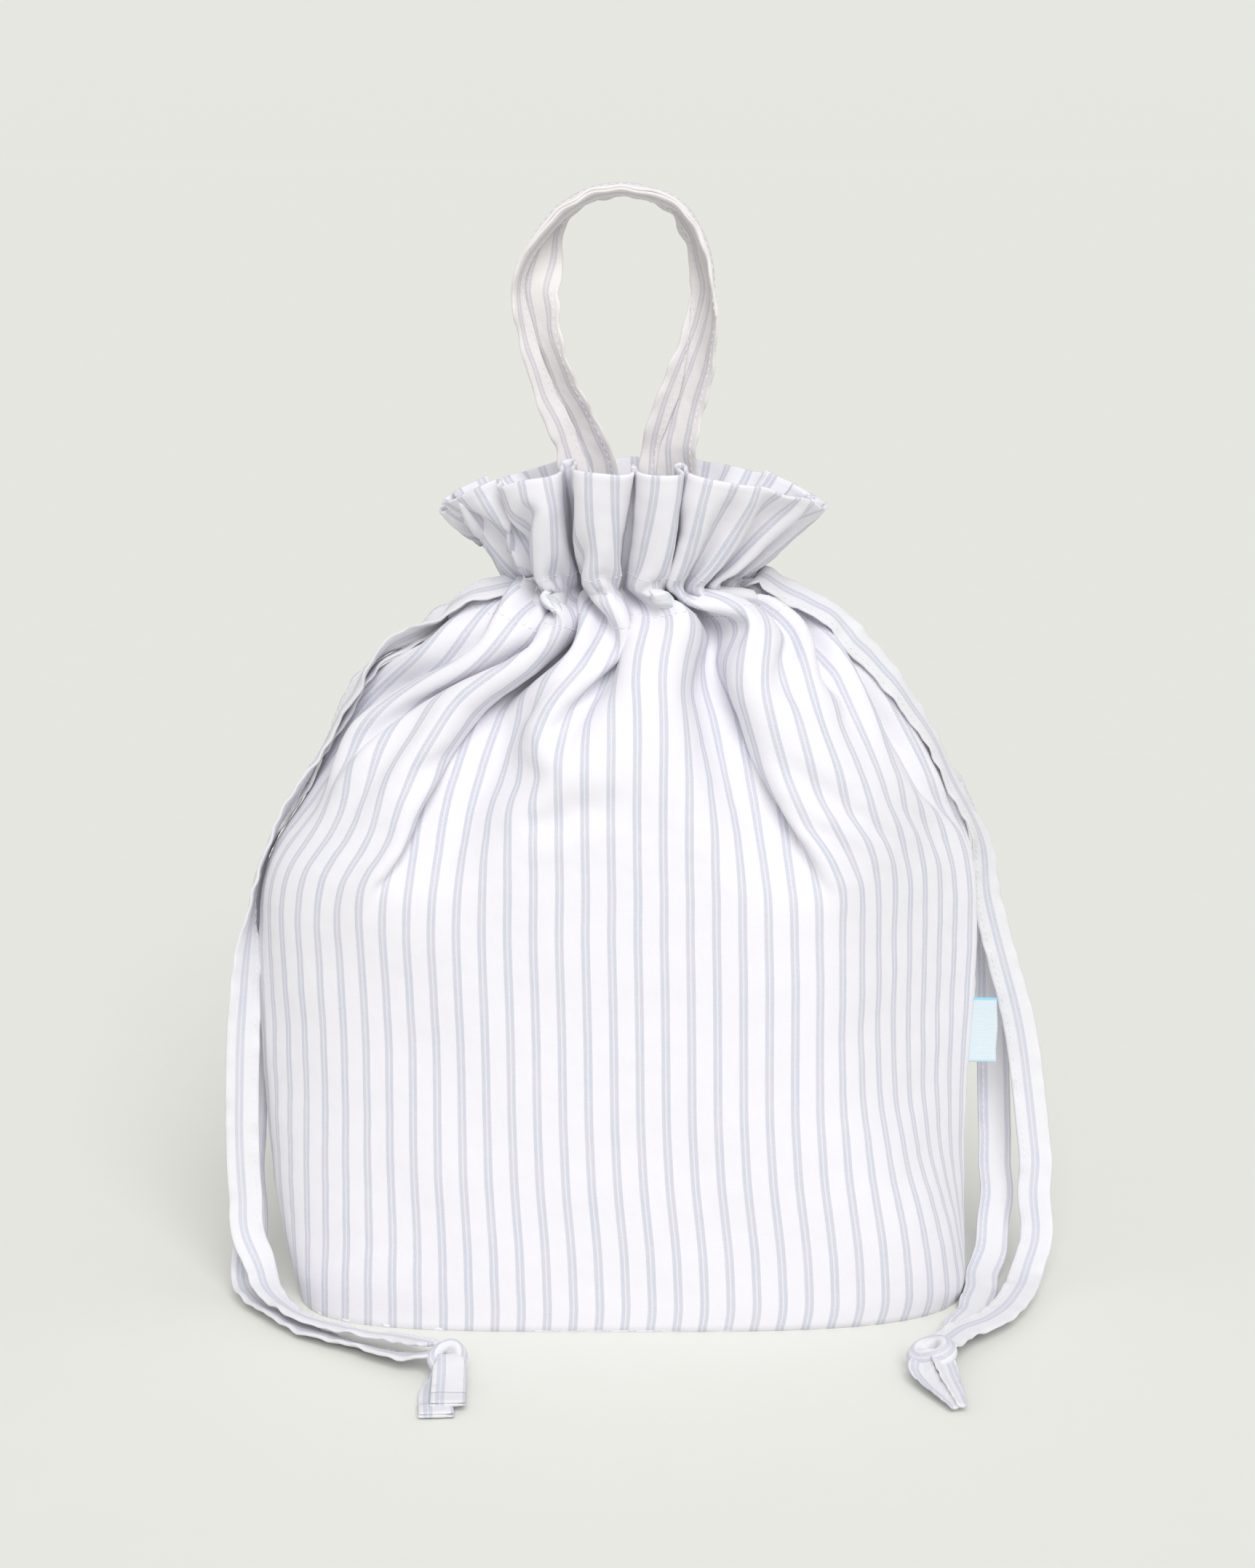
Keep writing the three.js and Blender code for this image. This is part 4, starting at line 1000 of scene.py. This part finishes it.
def clear_of_cloth(c, w, out, clear):
    """Raises a tape until its whole width is clear of the cloth."""
    push = np.zeros(len(c))
    for k in (-6.0, -3.0, 0.0, 3.0, 6.0):
        for i, q in enumerate(c + w * k):
            loc, m, _, dist = tree.find_nearest(q.tolist())
            gap = float((q - np.array(loc)) @ np.array(m))
            if dist < 12 and c[i, 2] > 170 and abs(c[i, 0]) > 47:
                push[i] = max(push[i], clear - gap)
    wide = np.max([np.roll(push, d) for d in range(-4, 5)], 0)
    return c + out * smoothed(wide, 14)[:, None]

SHIFT = {"left_strand_front": 0.12, "left_strand_back": 0.3, "right_strand_front": 0.02, "right_strand_back": 0.42}
tape_pieces = {}
for name, (body, points) in STRANDS.items():
    pts = np.array(points, float)
    even, where, run = along(pts, 2.2)
    c, w = even[:, :3], even[:, 3:]
    left_side = name.startswith("left")
    high_part = smooth(c[:, 2], 176, 200) * smooth(np.abs(c[:, 0]), 43, 52)
    snap = 11.0 * high_part
    clear = 1.0 if name.endswith("front") else 0.95
    guard = np.abs(c[:, 0]) > 46
    for turn_round in range(6):
        moved, nn = rest_on_cloth(c, clear, snap if turn_round < 3 else None)
        c = np.where(guard[:, None], moved, c)
        c = smoothed(c, (16 if left_side else 6) if turn_round < 3 else 2)
    low_part = (1 - smooth(c[:, 2], 30, 60)) * (1 - smooth(run / run[-1], 0.9, 1.0))
    side = unit(np.stack([w[:, 0], w[:, 1], 0 * run], -1))
    c = c + side * (0.9 * waves(ord(name[0]) + len(name), run, 0.0, 4, 22, 48) * low_part)[:, None]
    c[:, 2] += 0.35 * waves(5 + len(name), run, 0.0, 3, 18, 30) * low_part
    n_on = smoothed(nn, 6)
    w = w - (w * n_on).sum(-1, keepdims=True) * n_on * 0.9
    # one edge of the tape stands a little off the cloth
    near_neck, lower, over = LIFT[name]
    slope = smooth(c[:, 2], 172, 194) * (1 - smooth(c[:, 2], 260, 270))
    lift = (near_neck * smooth(c[:, 2], 264, 274) * smooth(np.abs(c[:, 0]), 46, 56) + lower * slope)[:, None]
    away = unit(n_on + 1e-9)
    w = unit(w) * np.cos(lift) + away * np.sin(lift)
    c = c + away * (np.abs(np.sin(lift)) * np.where(lift < 0, 6.0, 2.5) + over * (smooth(c[:, 2], 172, 194) * smooth(np.abs(c[:, 0]), 50, 62))[:, None])
    c = clear_of_cloth(c, w, away, 0.95)
    # a slow irregular twist
    twist = 0.10 * waves(len(name) + 3, run, 0.0, 4, 30, 90)
    t, w, n = frames(c, smoothed(unit(w), 6))
    w, n = w * np.cos(twist)[:, None] + n * np.sin(twist)[:, None], n * np.cos(twist)[:, None] - w * np.sin(twist)[:, None]
    b = Build()
    line = 4.4 if left_side else -4.4
    px, nn2, run, x = band(b, c, w, n, 12.5, 1.7, SHIFT[name], (line,), (0.5, 12.5, len(name) + ord(name[-1])))
    ob = b.done(name + "_tape", [tape_cotton])
    fix_normals(ob)
    # points inside the channel and just outside its hole, on this side
    hole = -1 if left_side else 1
    inside, outside = (hole * 0.0445, 0, 0.281), (hole * 0.062, 0, 0.281)
    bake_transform(ob)
    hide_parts(name)
    length = float(run[-1]) * MM
    tape_pieces[name] = (ob, c.copy(), w.copy(), n.copy(), length)
    k = int(np.argmin(np.abs(x[0] - line)))
    st = Build()
    for sgn, seed in ((1, 3), (-1, 4)):
        dashes(st, px[:, k] + nn2[:, k] * sgn * 0.64, nn2[:, k] * sgn, 3.0, 2.0, 0.28, 0.0, seed)
    so = st.done(name + "_stitches", [thread])
    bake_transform(so)


# ------------------------------------------------------------------ knots and tails
def knot(name, centre, axis, body, node, spin, size=1.0):
    """The overhand knot that ties a pair of tapes: the bunched tape wrapped round once, its ends coming out of the middle."""
    t = np.linspace(0, TAU, 161)[:-1]
    a = unit(axis)
    e1 = unit(np.array([1.0, 0, 0]) - a[0] * a)
    e2 = np.cross(a, e1)
    out = e1 * np.cos(t)[:, None] + e2 * np.sin(t)[:, None]
    big = 4.9 * size * (1 + 0.05 * np.sin(2 * t + spin) + 0.03 * np.sin(3 * t - spin))
    c = out * big[:, None] + a * (0.9 * np.sin(t + spin))[:, None]
    b = np.linspace(0, TAU, 33)[:-1][None, :]
    tt = t[:, None]
    fold = 1 + 0.07 * np.cos(3 * b + 1.6 * np.sin(tt + spin)) + 0.05 * np.sin(5 * b - 2 * tt) + 0.04 * np.cos(b * 2 + 3 * tt + spin)
    wide = 4.2 * size * (1 + 0.10 * np.sin(tt + 2 * spin))
    deep = 3.25 * size * (1 + 0.08 * np.sin(2 * tt + spin))
    ring = c[:, None, :] + out[:, None, :] * (np.cos(b) * deep * fold)[..., None] + a * (np.sin(b) * wide * fold)[..., None]
    ring[..., 2] -= ring[..., 2].min()
    ring += np.array([centre[0], centre[1], 0.3])
    run = np.concatenate([[0], np.cumsum(np.linalg.norm(np.diff(c, axis=0), axis=1))])
    u = np.broadcast_to((np.abs(b / math.pi - 1)) * 9.4 / PITCH + 0.30, ring.shape[:2])
    v = np.broadcast_to((run / PITCH)[:, None], ring.shape[:2])
    rows, m = ring.shape[:2]
    i, j = np.meshgrid(np.arange(rows), np.arange(m), indexing="ij")
    q = i * m + j
    f = np.stack([q, i * m + (j + 1) % m, ((i + 1) % rows) * m + (j + 1) % m, ((i + 1) % rows) * m + j], -1).reshape(-1, 4)
    build = Build()
    build.add(ring, f, np.stack([u, v], -1))
    ob = build.done(name, [tape_cotton])
    fix_normals(ob)
    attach(ob, body)
    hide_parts(node)
    return ob


left_knot = knot("left_knot_tied", (-68.3, -111.8), (0.12, -0.57, 0.81), "left_drawstring", "left_knot", 0.4, 0.88)
right_knot = knot("right_knot_tied", (111.4, -107.5), (-0.25, -0.25, 0.93), "right_drawstring", "right_knot", 2.2, 1.08)

TAILS = {
    "left_tail_lower": ("left_drawstring", 0.30, None, [(-70, -112, 4.2, 1, 0, 0), (-71, -118, 2.4, 1, 0, 0.0), (-71.5, -125, 1.3, 1, -0.05, 0.04), (-71.2, -138, 1.2, 1, -0.1, 0.02), (-70, -152.5, 1.1, 1, -0.12, 0)]),
    "left_tail_upper": ("left_drawstring", 0.30, None, [(-67.5, -107.5, 2.6, 0.9, 0.1, 0.1), (-67.4, -110.5, 6.8, 0.95, 0.1, 0.1), (-67.3, -114.2, 9.0, 1, 0, 0.05), (-67, -119, 8.0, 1, 0, 0), (-66.8, -127, 5.2, 1, 0.05, -0.04), (-66.6, -137, 3.1, 1, 0.1, -0.03), (-66.2, -146.7, 2.9, 1, 0.12, 0.0)]),
    "right_tail_lower": ("right_drawstring", 0.3, (0.35, 0.6), [(110.5, -103.5, 2.0, 0.9, -0.2, 0.2), (109.6, -107.5, 5.6, 0.9, -0.2, 0.2), (107.6, -112.5, 5.8, 0.9, -0.3, 0.1), (106.6, -118, 4.4, 0.9, -0.2, 0.1), (109.0, -127, 3.0, 0.9, 0.15, 0.1), (113, -138, 2.5, 0.9, 0.3, 0.1), (116.2, -147, 2.0, 0.9, 0.35, 0.1)]),
    "right_tail_upper": ("right_drawstring", 0.7, (0.35, 0.6), [(111, -102, 3.2, 0.9, 0.1, -0.1), (112.0, -106.5, 5.6, 0.9, 0.1, -0.1), (113.8, -112, 6.2, 0.9, 0.1, -0.2), (114.6, -118, 5.6, 0.9, 0.2, -0.25), (115.6, -128, 4.2, 0.9, 0.25, -0.25), (117.2, -138, 3.2, 0.9, 0.3, -0.2), (118.2, -147, 2.6, 0.9, 0.35, -0.15)]),
}
tails = {}
for name, (body, shift, fold, points) in TAILS.items():
    even, where, run = along(np.array(points, float), 1.2)
    c, w = even[:, :3], even[:, 3:]
    t, w, n = frames(c, unit(w))
    taper = np.interp(run / run[-1], [0, 0.15, 0.4, 1], [0.34, 0.56, 0.95, 1.0])
    if fold is not None:
        taper = np.interp(run / run[-1], [0, 0.12, 0.3, 0.7, 1], [0.5, 0.7, 0.85, 0.62, 0.34])
    b = Build()
    angle = None if fold is None else np.linspace(fold[0], fold[1], len(c))
    px, nn2, run, x = band(b, c, w, n, 12.5, 1.15, shift, (4.4,), (0.35, 7.0, 31 + len(name)), fold=angle, taper=taper)
    if fold is None:
        # the hem at the end, turned over once
        k = run > run[-1] - 9
        band(b, c[k] + n[k] * 1.15 * np.sign(n[k][:, 2:3]), w[k], n[k], 12.1, 1.1, shift, (), (0.2, 6.0, 77), across=11)
    ob = b.done(name + "_tape", [tape_cotton])
    fix_normals(ob)
    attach(ob, body)
    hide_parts(name)
    tails[name] = ob

for name, (ob, c, w, n, length) in tape_pieces.items():
    side = name.split("_")[0]
    with_pieces = [left_knot if side == "left" else right_knot] if name.endswith("front") else []
    if name.endswith("front"):
        with_pieces += [tails[side + "_tail_lower"], tails[side + "_tail_upper"]]

# ------------------------------------------------------------------ carry strap
LOOP = np.array([
    (-13, 29.5, 262, 0), (-14.0, 28.5, 284, 0), (-15.5, 25, 303, 0), (-17.0, 21.2, 320, 0), (-19.0, 20, 330, 0),
    (-21.2, 20, 336.5, -2), (-24.8, 20, 344, -4), (-28.4, 20, 353, -5), (-31.9, 20, 364.5, -4), (-35.9, 20, 379, 6),
    (-37.7, 20, 391.5, 24), (-35.8, 20, 405.5, 56), (-27.8, 20, 421.2, 83), (-14.5, 20, 429.6, 88), (-5, 20, 430.8, 90), (6.5, 20, 429.6, 92), (18.6, 20, 423.2, 100),
    (27.2, 20, 409.5, 112), (31.0, 20, 391, 136), (29.3, 20, 377, 160), (24.8, 20, 363.5, 178), (19.8, 20, 350, 183), (16.8, 20, 340, 182), (14.8, 20, 331, 180),
    (14.2, 20.8, 322, 180), (13.2, 24, 306, 180), (12.0, 28.5, 284, 180), (11, 29.5, 262, 180)], float)
turn = np.radians(LOOP[:, 3])
# at the top the strap lies along the line of sight, so only its edges show
pts = np.concatenate([LOOP[:, :3], np.cos(turn)[:, None], np.sin(turn)[:, None], -0.15 * smooth(LOOP[:, 2:3], 395, 420)], 1)
even, where, run = along(pts, 1.3)
c, w = even[:, :3], unit(even[:, 3:])
t, w, n = frames(c, w)
up = smooth(c[:, 2], 318, 345)
top = smooth(c[:, 2], 396, 420)
left_leg = 1 - smooth(run / run[-1], 0.4, 0.6)
sway = 0.7 * waves(41, run, 0.0, 5, 25, 70) * up
c = c + n * sway[:, None]
# it is folded lengthwise into a narrow leaf and a wide one; the crease wanders
crease = left_leg * np.interp(c[:, 2], [320, 331, 349, 366, 390, 420], [0.5, -0.4, -1.6, -3.2, -4.4, -1.5]) + (1 - left_leg) * np.interp(c[:, 2], [320, 331, 350, 375, 395, 420], [5.5, 5.0, 1.9, 5.2, 3.5, 0.0])
crease += 0.4 * waves(43, run, 0.0, 4, 20, 50)
open_by = left_leg * np.interp(c[:, 2], [318, 332, 348, 364, 391, 407, 425], [0.12, 0.55, 0.66, 0.78, 0.78, 0.5, 0.22])
open_by += (1 - left_leg) * np.interp(c[:, 2], [318, 332, 346, 371, 393, 410, 425], [0.12, 0.5, 0.62, 0.85, 0.7, 0.4, 0.22])


def strap_section(across, off, flap=0.0):
    """Middle points of the folded strap, its face directions, and the cloth position across it."""
    x = across * 11.5
    far = x - crease[:, None]
    soft = np.sqrt(far ** 2 + 0.45 ** 2) - 0.45
    rim = np.abs(across) ** 4
    rip = sum(np.sin(run * TAU / ln + ph) for ln, ph in ((15.3, 0.3), (22.1, 2.0), (11.9, 4.1))) / 3
    rip2 = sum(np.sin(run * TAU / ln + ph) for ln, ph in ((14.1, 1.3), (19.7, 5.0), (12.3, 0.7))) / 3
    ripple = np.where(across < 0, rip[:, None], rip2[:, None]) * rim
    belly = 0.9 * np.sin(math.pi * np.clip(np.abs(far) / (11.5 + np.abs(crease))[:, None], 0, 1)) * up[:, None]
    side = x - far * (1 - np.cos(open_by))[:, None] + 0.5 * ripple * np.sign(x)
    rise = soft * np.sin(open_by)[:, None] - belly + 0.9 * ripple - (5.2 * np.sin(open_by) - 0.4)[:, None] + off
    p = c[:, None, :] + w[:, None, :] * side[..., None] - n[:, None, :] * rise[..., None]
    g = grid_normals(p)
    g *= np.sign((g * n[:, None, :]).sum(-1, keepdims=True))
    return p, g, x


lane = np.sin(np.linspace(-math.pi / 2, math.pi / 2, 27)) * 0.35 + np.linspace(-1, 1, 27) * 0.65
p, g, x = strap_section(np.broadcast_to(lane, (len(run), 27)), 0.0)
half_thick = 0.8 * (1 - 0.35 * np.abs(lane) ** 8)[None, :] - 0.16 * np.exp(-((np.abs(x) - 9.7) / 0.6) ** 2) + 0.06 * waves(44, run[:, None], x, 6, 4, 11)
pucker = 0.10 * waves(45, run, 0.0, 5, 17, 34)[:, None] + 0.05 * waves(46, run[:, None], x * 0.5, 5, 10, 24)
b = Build()
add_shell(b, p, g, 2 * half_thick, (x + 8.0) / 7.7 + pucker, np.broadcast_to((run / PITCH)[:, None], p.shape[:2]))
# the narrow leaf: folded over along one edge on the left leg and round the top, along the other on the right leg
flap_edges = []
for which, lo, hi in (("outer", 0.0, 0.68), ("inner", 0.66, 1.0)):
    s01 = run / run[-1]
    ends = smooth(s01, 0.50, 0.68) if which == "outer" else 1 - smooth(s01, 0.66, 0.76)
    edge = -1.0 if which == "outer" else 1.0
    free_edge = crease / 11.5 - 0.06 * edge
    tip = edge * 0.995 + (free_edge - edge * 0.995) * (1 - 0.97 * ends)
    q = np.linspace(0, 1, 11)
    across = edge * 0.995 + (tip[:, None] - edge * 0.995) * q[None, :]
    loose = (1.9 + 2.2 * top + 0.35 * waves(47, run, 0.0, 4, 18, 40)) * (1 - 0.75 * ends)
    off = (loose[:, None] * np.sin(math.pi * np.clip(q * 0.62 + 0.04, 0, 1))[None, :] ** 0.7) + 0.2 * waves(48, run[:, None], q[None, :] * 8, 4, 9, 20) * q[None, :] ** 2
    fp, fg, fx = strap_section(across, off)
    keep = (s01 >= lo) & (s01 <= hi)
    fp, fg, fx = fp[keep], fg[keep], fx[keep]
    add_shell(b, fp, fg, 1.15, (fx * 1.02 + 8.0) / 7.7 + pucker[keep][:, :1] + 0.04, np.broadcast_to((run[keep] / PITCH)[:, None], fp.shape[:2]))
    flap_edges.append((fp[:, 8], fg[:, 8]))
strap = b.done("carry_strap", [strap_cotton])
fix_normals(strap)
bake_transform(strap)
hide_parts("handle_strap", "handle_end_left", "handle_end_right")
st = Build()
for target in (-9.7, 9.7):
    k = int(np.argmin(np.abs(lane * 11.5 - target)))
    for sgn, seed in ((1, 3), (-1, 4)):
        dashes(st, p[:, k] + g[:, k] * sgn * 0.6, g[:, k] * sgn, 3.1, 2.1, 0.30, 0.0, seed)
for line, face in flap_edges:
    front_face = face * np.where((face[:, 1:2] > 0), -1.0, 1.0)
    dashes(st, line + front_face * 0.5, front_face, 3.1, 2.1, 0.30, 0.0, 9)
so = st.done("strap_stitches", [thread])
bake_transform(so)

# the bar tacks that hold the strap's ends
for side, x0 in (("left", -15.2), ("right", 11.4)):
    st = Build()
    for z in (266, 267.6, 278, 279.6):
        xs = np.linspace(x0 - 9, x0 + 9, 40)
        for face in (-1,):
            pts = np.stack([xs, np.full(40, 28.0 - 0.25 * (z - 262) / 10), np.full(40, float(z))], -1)
            dashes(st, pts, np.broadcast_to([0, -1.0, 0], pts.shape), 2.2, 1.7, 0.4, 0.1, int(z))
    ob = st.done("handle_tack_stitches_" + side, [thread])
    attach(ob, "bag")
    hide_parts("handle_tack_" + side)

# ------------------------------------------------------------------ label
def label_material():
    k = Nodes("woven_label")
    vec, u, v = k.cloth_uv()
    ribs = k.math("SINE", k.math("MULTIPLY", v, 300.0))
    f = k.noise(vec, 40.0, 3, 0.6)
    top = k.ramp(v, 0.955, 0.985)
    low = k.ramp(v, 0.03, 0.012)
    c = k.mix(f, (0.62, 0.73, 0.79), (0.71, 0.80, 0.85))
    c = k.mix(top, c, (0.30, 0.62, 0.80))
    c = k.mix(k.math("MULTIPLY", low, 0.6), c, (0.50, 0.75, 0.88))
    k.put(k.bsdf.inputs["Base Color"], c)
    k.bsdf.inputs["Roughness"].default_value = 0.6
    k.bsdf.inputs["Sheen Weight"].default_value = 0.1
    k.bump(k.math("ADD", ribs, f), 0.00005, 0.6)
    return k.m


seam_p, seam_n = surf(0.0, 101.0)
sx = float(seam_p[0])
rows, loops = 21, 25
q = np.linspace(0, 1, loops)
b = Build()
grid = np.empty((rows, loops, 3))
for i, z in enumerate(np.linspace(88, 114, rows)):
    reach = 10.7 + 0.25 * math.sin(z / 3.1)
    a = (q - 0.5) * 2
    depth = 1.0 - np.abs(a) ** 8
    x = sx - 1.2 + (reach + 1.2) * np.sqrt(np.maximum(0, 1 - np.abs(a) ** 6))
    grid[i, :, 0] = np.where(np.abs(a) < 0.12, sx + reach, np.interp(np.abs(a), [0.12, 1.0], [sx + reach, sx - 1.5]))
    grid[i, :, 1] = np.sign(a) * 0.42 * np.minimum(1, np.abs(a) * 8) + 0.5 * math.sin((z - 88) / 26 * 2.6) - 0.6 * np.clip((grid[i, :, 0] - sx) / 10, 0, 1) ** 2
    grid[i, :, 2] = z
n = grid_normals(grid)
add_shell(b, grid, n, 0.34, np.broadcast_to(q, (rows, loops)), np.broadcast_to(np.linspace(0, 1, rows)[:, None], (rows, loops)))
label = b.done("side_label_loop", [label_material()])
fix_normals(label)
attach(label, "label")
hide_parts("side_label")

# ------------------------------------------------------------------ stage and light
def plain(name, color, rough=0.9):
    k = Nodes(name)
    tc = k.t.nodes.new("ShaderNodeTexCoord")
    f = k.noise(tc.outputs["Object"], 30.0, 3, 0.5)
    k.put(k.bsdf.inputs["Base Color"], k.mix(f, [c * 0.985 for c in color], color))
    k.bsdf.inputs["Roughness"].default_value = rough
    k.bsdf.inputs["Specular IOR Level"].default_value = 0.0
    return k.m


def film():
    k = Nodes("silver_film")
    tc = k.t.nodes.new("ShaderNodeTexCoord")
    f = k.noise(tc.outputs["Object"], 22.0, 4, 0.65)
    g = k.noise(tc.outputs["Object"], 90.0, 3, 0.6)
    k.put(k.bsdf.inputs["Base Color"], k.mix(f, (0.66, 0.67, 0.69), (0.84, 0.85, 0.87)))
    k.bsdf.inputs["Metallic"].default_value = 0.65
    k.bsdf.inputs["Roughness"].default_value = 0.34
    k.bump(k.math("ADD", f, k.math("MULTIPLY", g, 0.4)), 0.0022, 0.8)
    return k.m


def foam():
    k = Nodes("white_foam")
    tc = k.t.nodes.new("ShaderNodeTexCoord")
    f = k.noise(tc.outputs["Object"], 1400.0, 2, 0.5)
    k.put(k.bsdf.inputs["Base Color"], k.mix(f, (0.84, 0.84, 0.82), (0.90, 0.90, 0.88)))
    k.bsdf.inputs["Roughness"].default_value = 0.95
    k.bump(f, 0.0003, 0.6)
    return k.m


flat_cotton = striped_cotton("flat_cotton", offset=0.5, flat=True)
binding = striped_cotton("binding_cotton", offset=0.5, base=(0.80, 0.80, 0.84), strength=0.35, flat=True)
CAD_LOOK = {"foam_": foam(), "lining_": film(), "liner_binding_": binding, "side_seam_": binding}
for name, ob in NODES.items():
    look = next((m for start, m in CAD_LOOK.items() if name.startswith(start)), flat_cotton)
    ob.data.materials.clear()
    ob.data.materials.append(look)

floor_b = Build()
floor_b.add([(x * 1000, y * 1000, -0.2) for y in (-9, -3, 3, 60) for x in (-40, -4, 4, 40)], grid_faces(4, 4), [(x, y) for y in range(4) for x in range(4)])
floor = floor_b.done("floor", [plain("floor", (0.800, 0.803, 0.757))])
wall_b = Build()
wall_b.add([(x * 1000, y * 1000, z * 1000) for y, z in ((90, -0.6), (91.13, 12.5)) for x in (-40, 40)], grid_faces(2, 2), [(0, 0), (1, 0), (0, 1), (1, 1)])
wall = wall_b.done("backdrop", [plain("backdrop", (0.727, 0.730, 0.688))])

world = bpy.data.worlds.new("world")
scene.world = world
world.use_nodes = True
world.node_tree.nodes["Background"].inputs[0].default_value = (1, 1, 1, 1)
world.node_tree.nodes["Background"].inputs[1].default_value = 0.57


def area(name, at, to, size, power, color=(1, 1, 1)):
    d = bpy.data.lights.new(name, "AREA")
    d.shape = "DISK"
    d.size = size
    d.energy = power
    d.color = color
    o = bpy.data.objects.new(name, d)
    scene.collection.objects.link(o)
    o.location = at
    o.rotation_euler = (Vector(to) - Vector(at)).to_track_quat("-Z", "Y").to_euler()
    return o


sun = bpy.data.lights.new("soft_key", "SUN")
sun.energy = 2.05
sun.angle = math.radians(38)
sun_ob = bpy.data.objects.new("soft_key", sun)
scene.collection.objects.link(sun_ob)
sun_ob.rotation_euler = Vector((0.10, -0.75, 0.65)).to_track_quat("Z", "Y").to_euler()
scene.view_settings.view_transform = "Standard"

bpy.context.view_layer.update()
print("scene made in", round(time.time() - start_time, 1), "seconds")
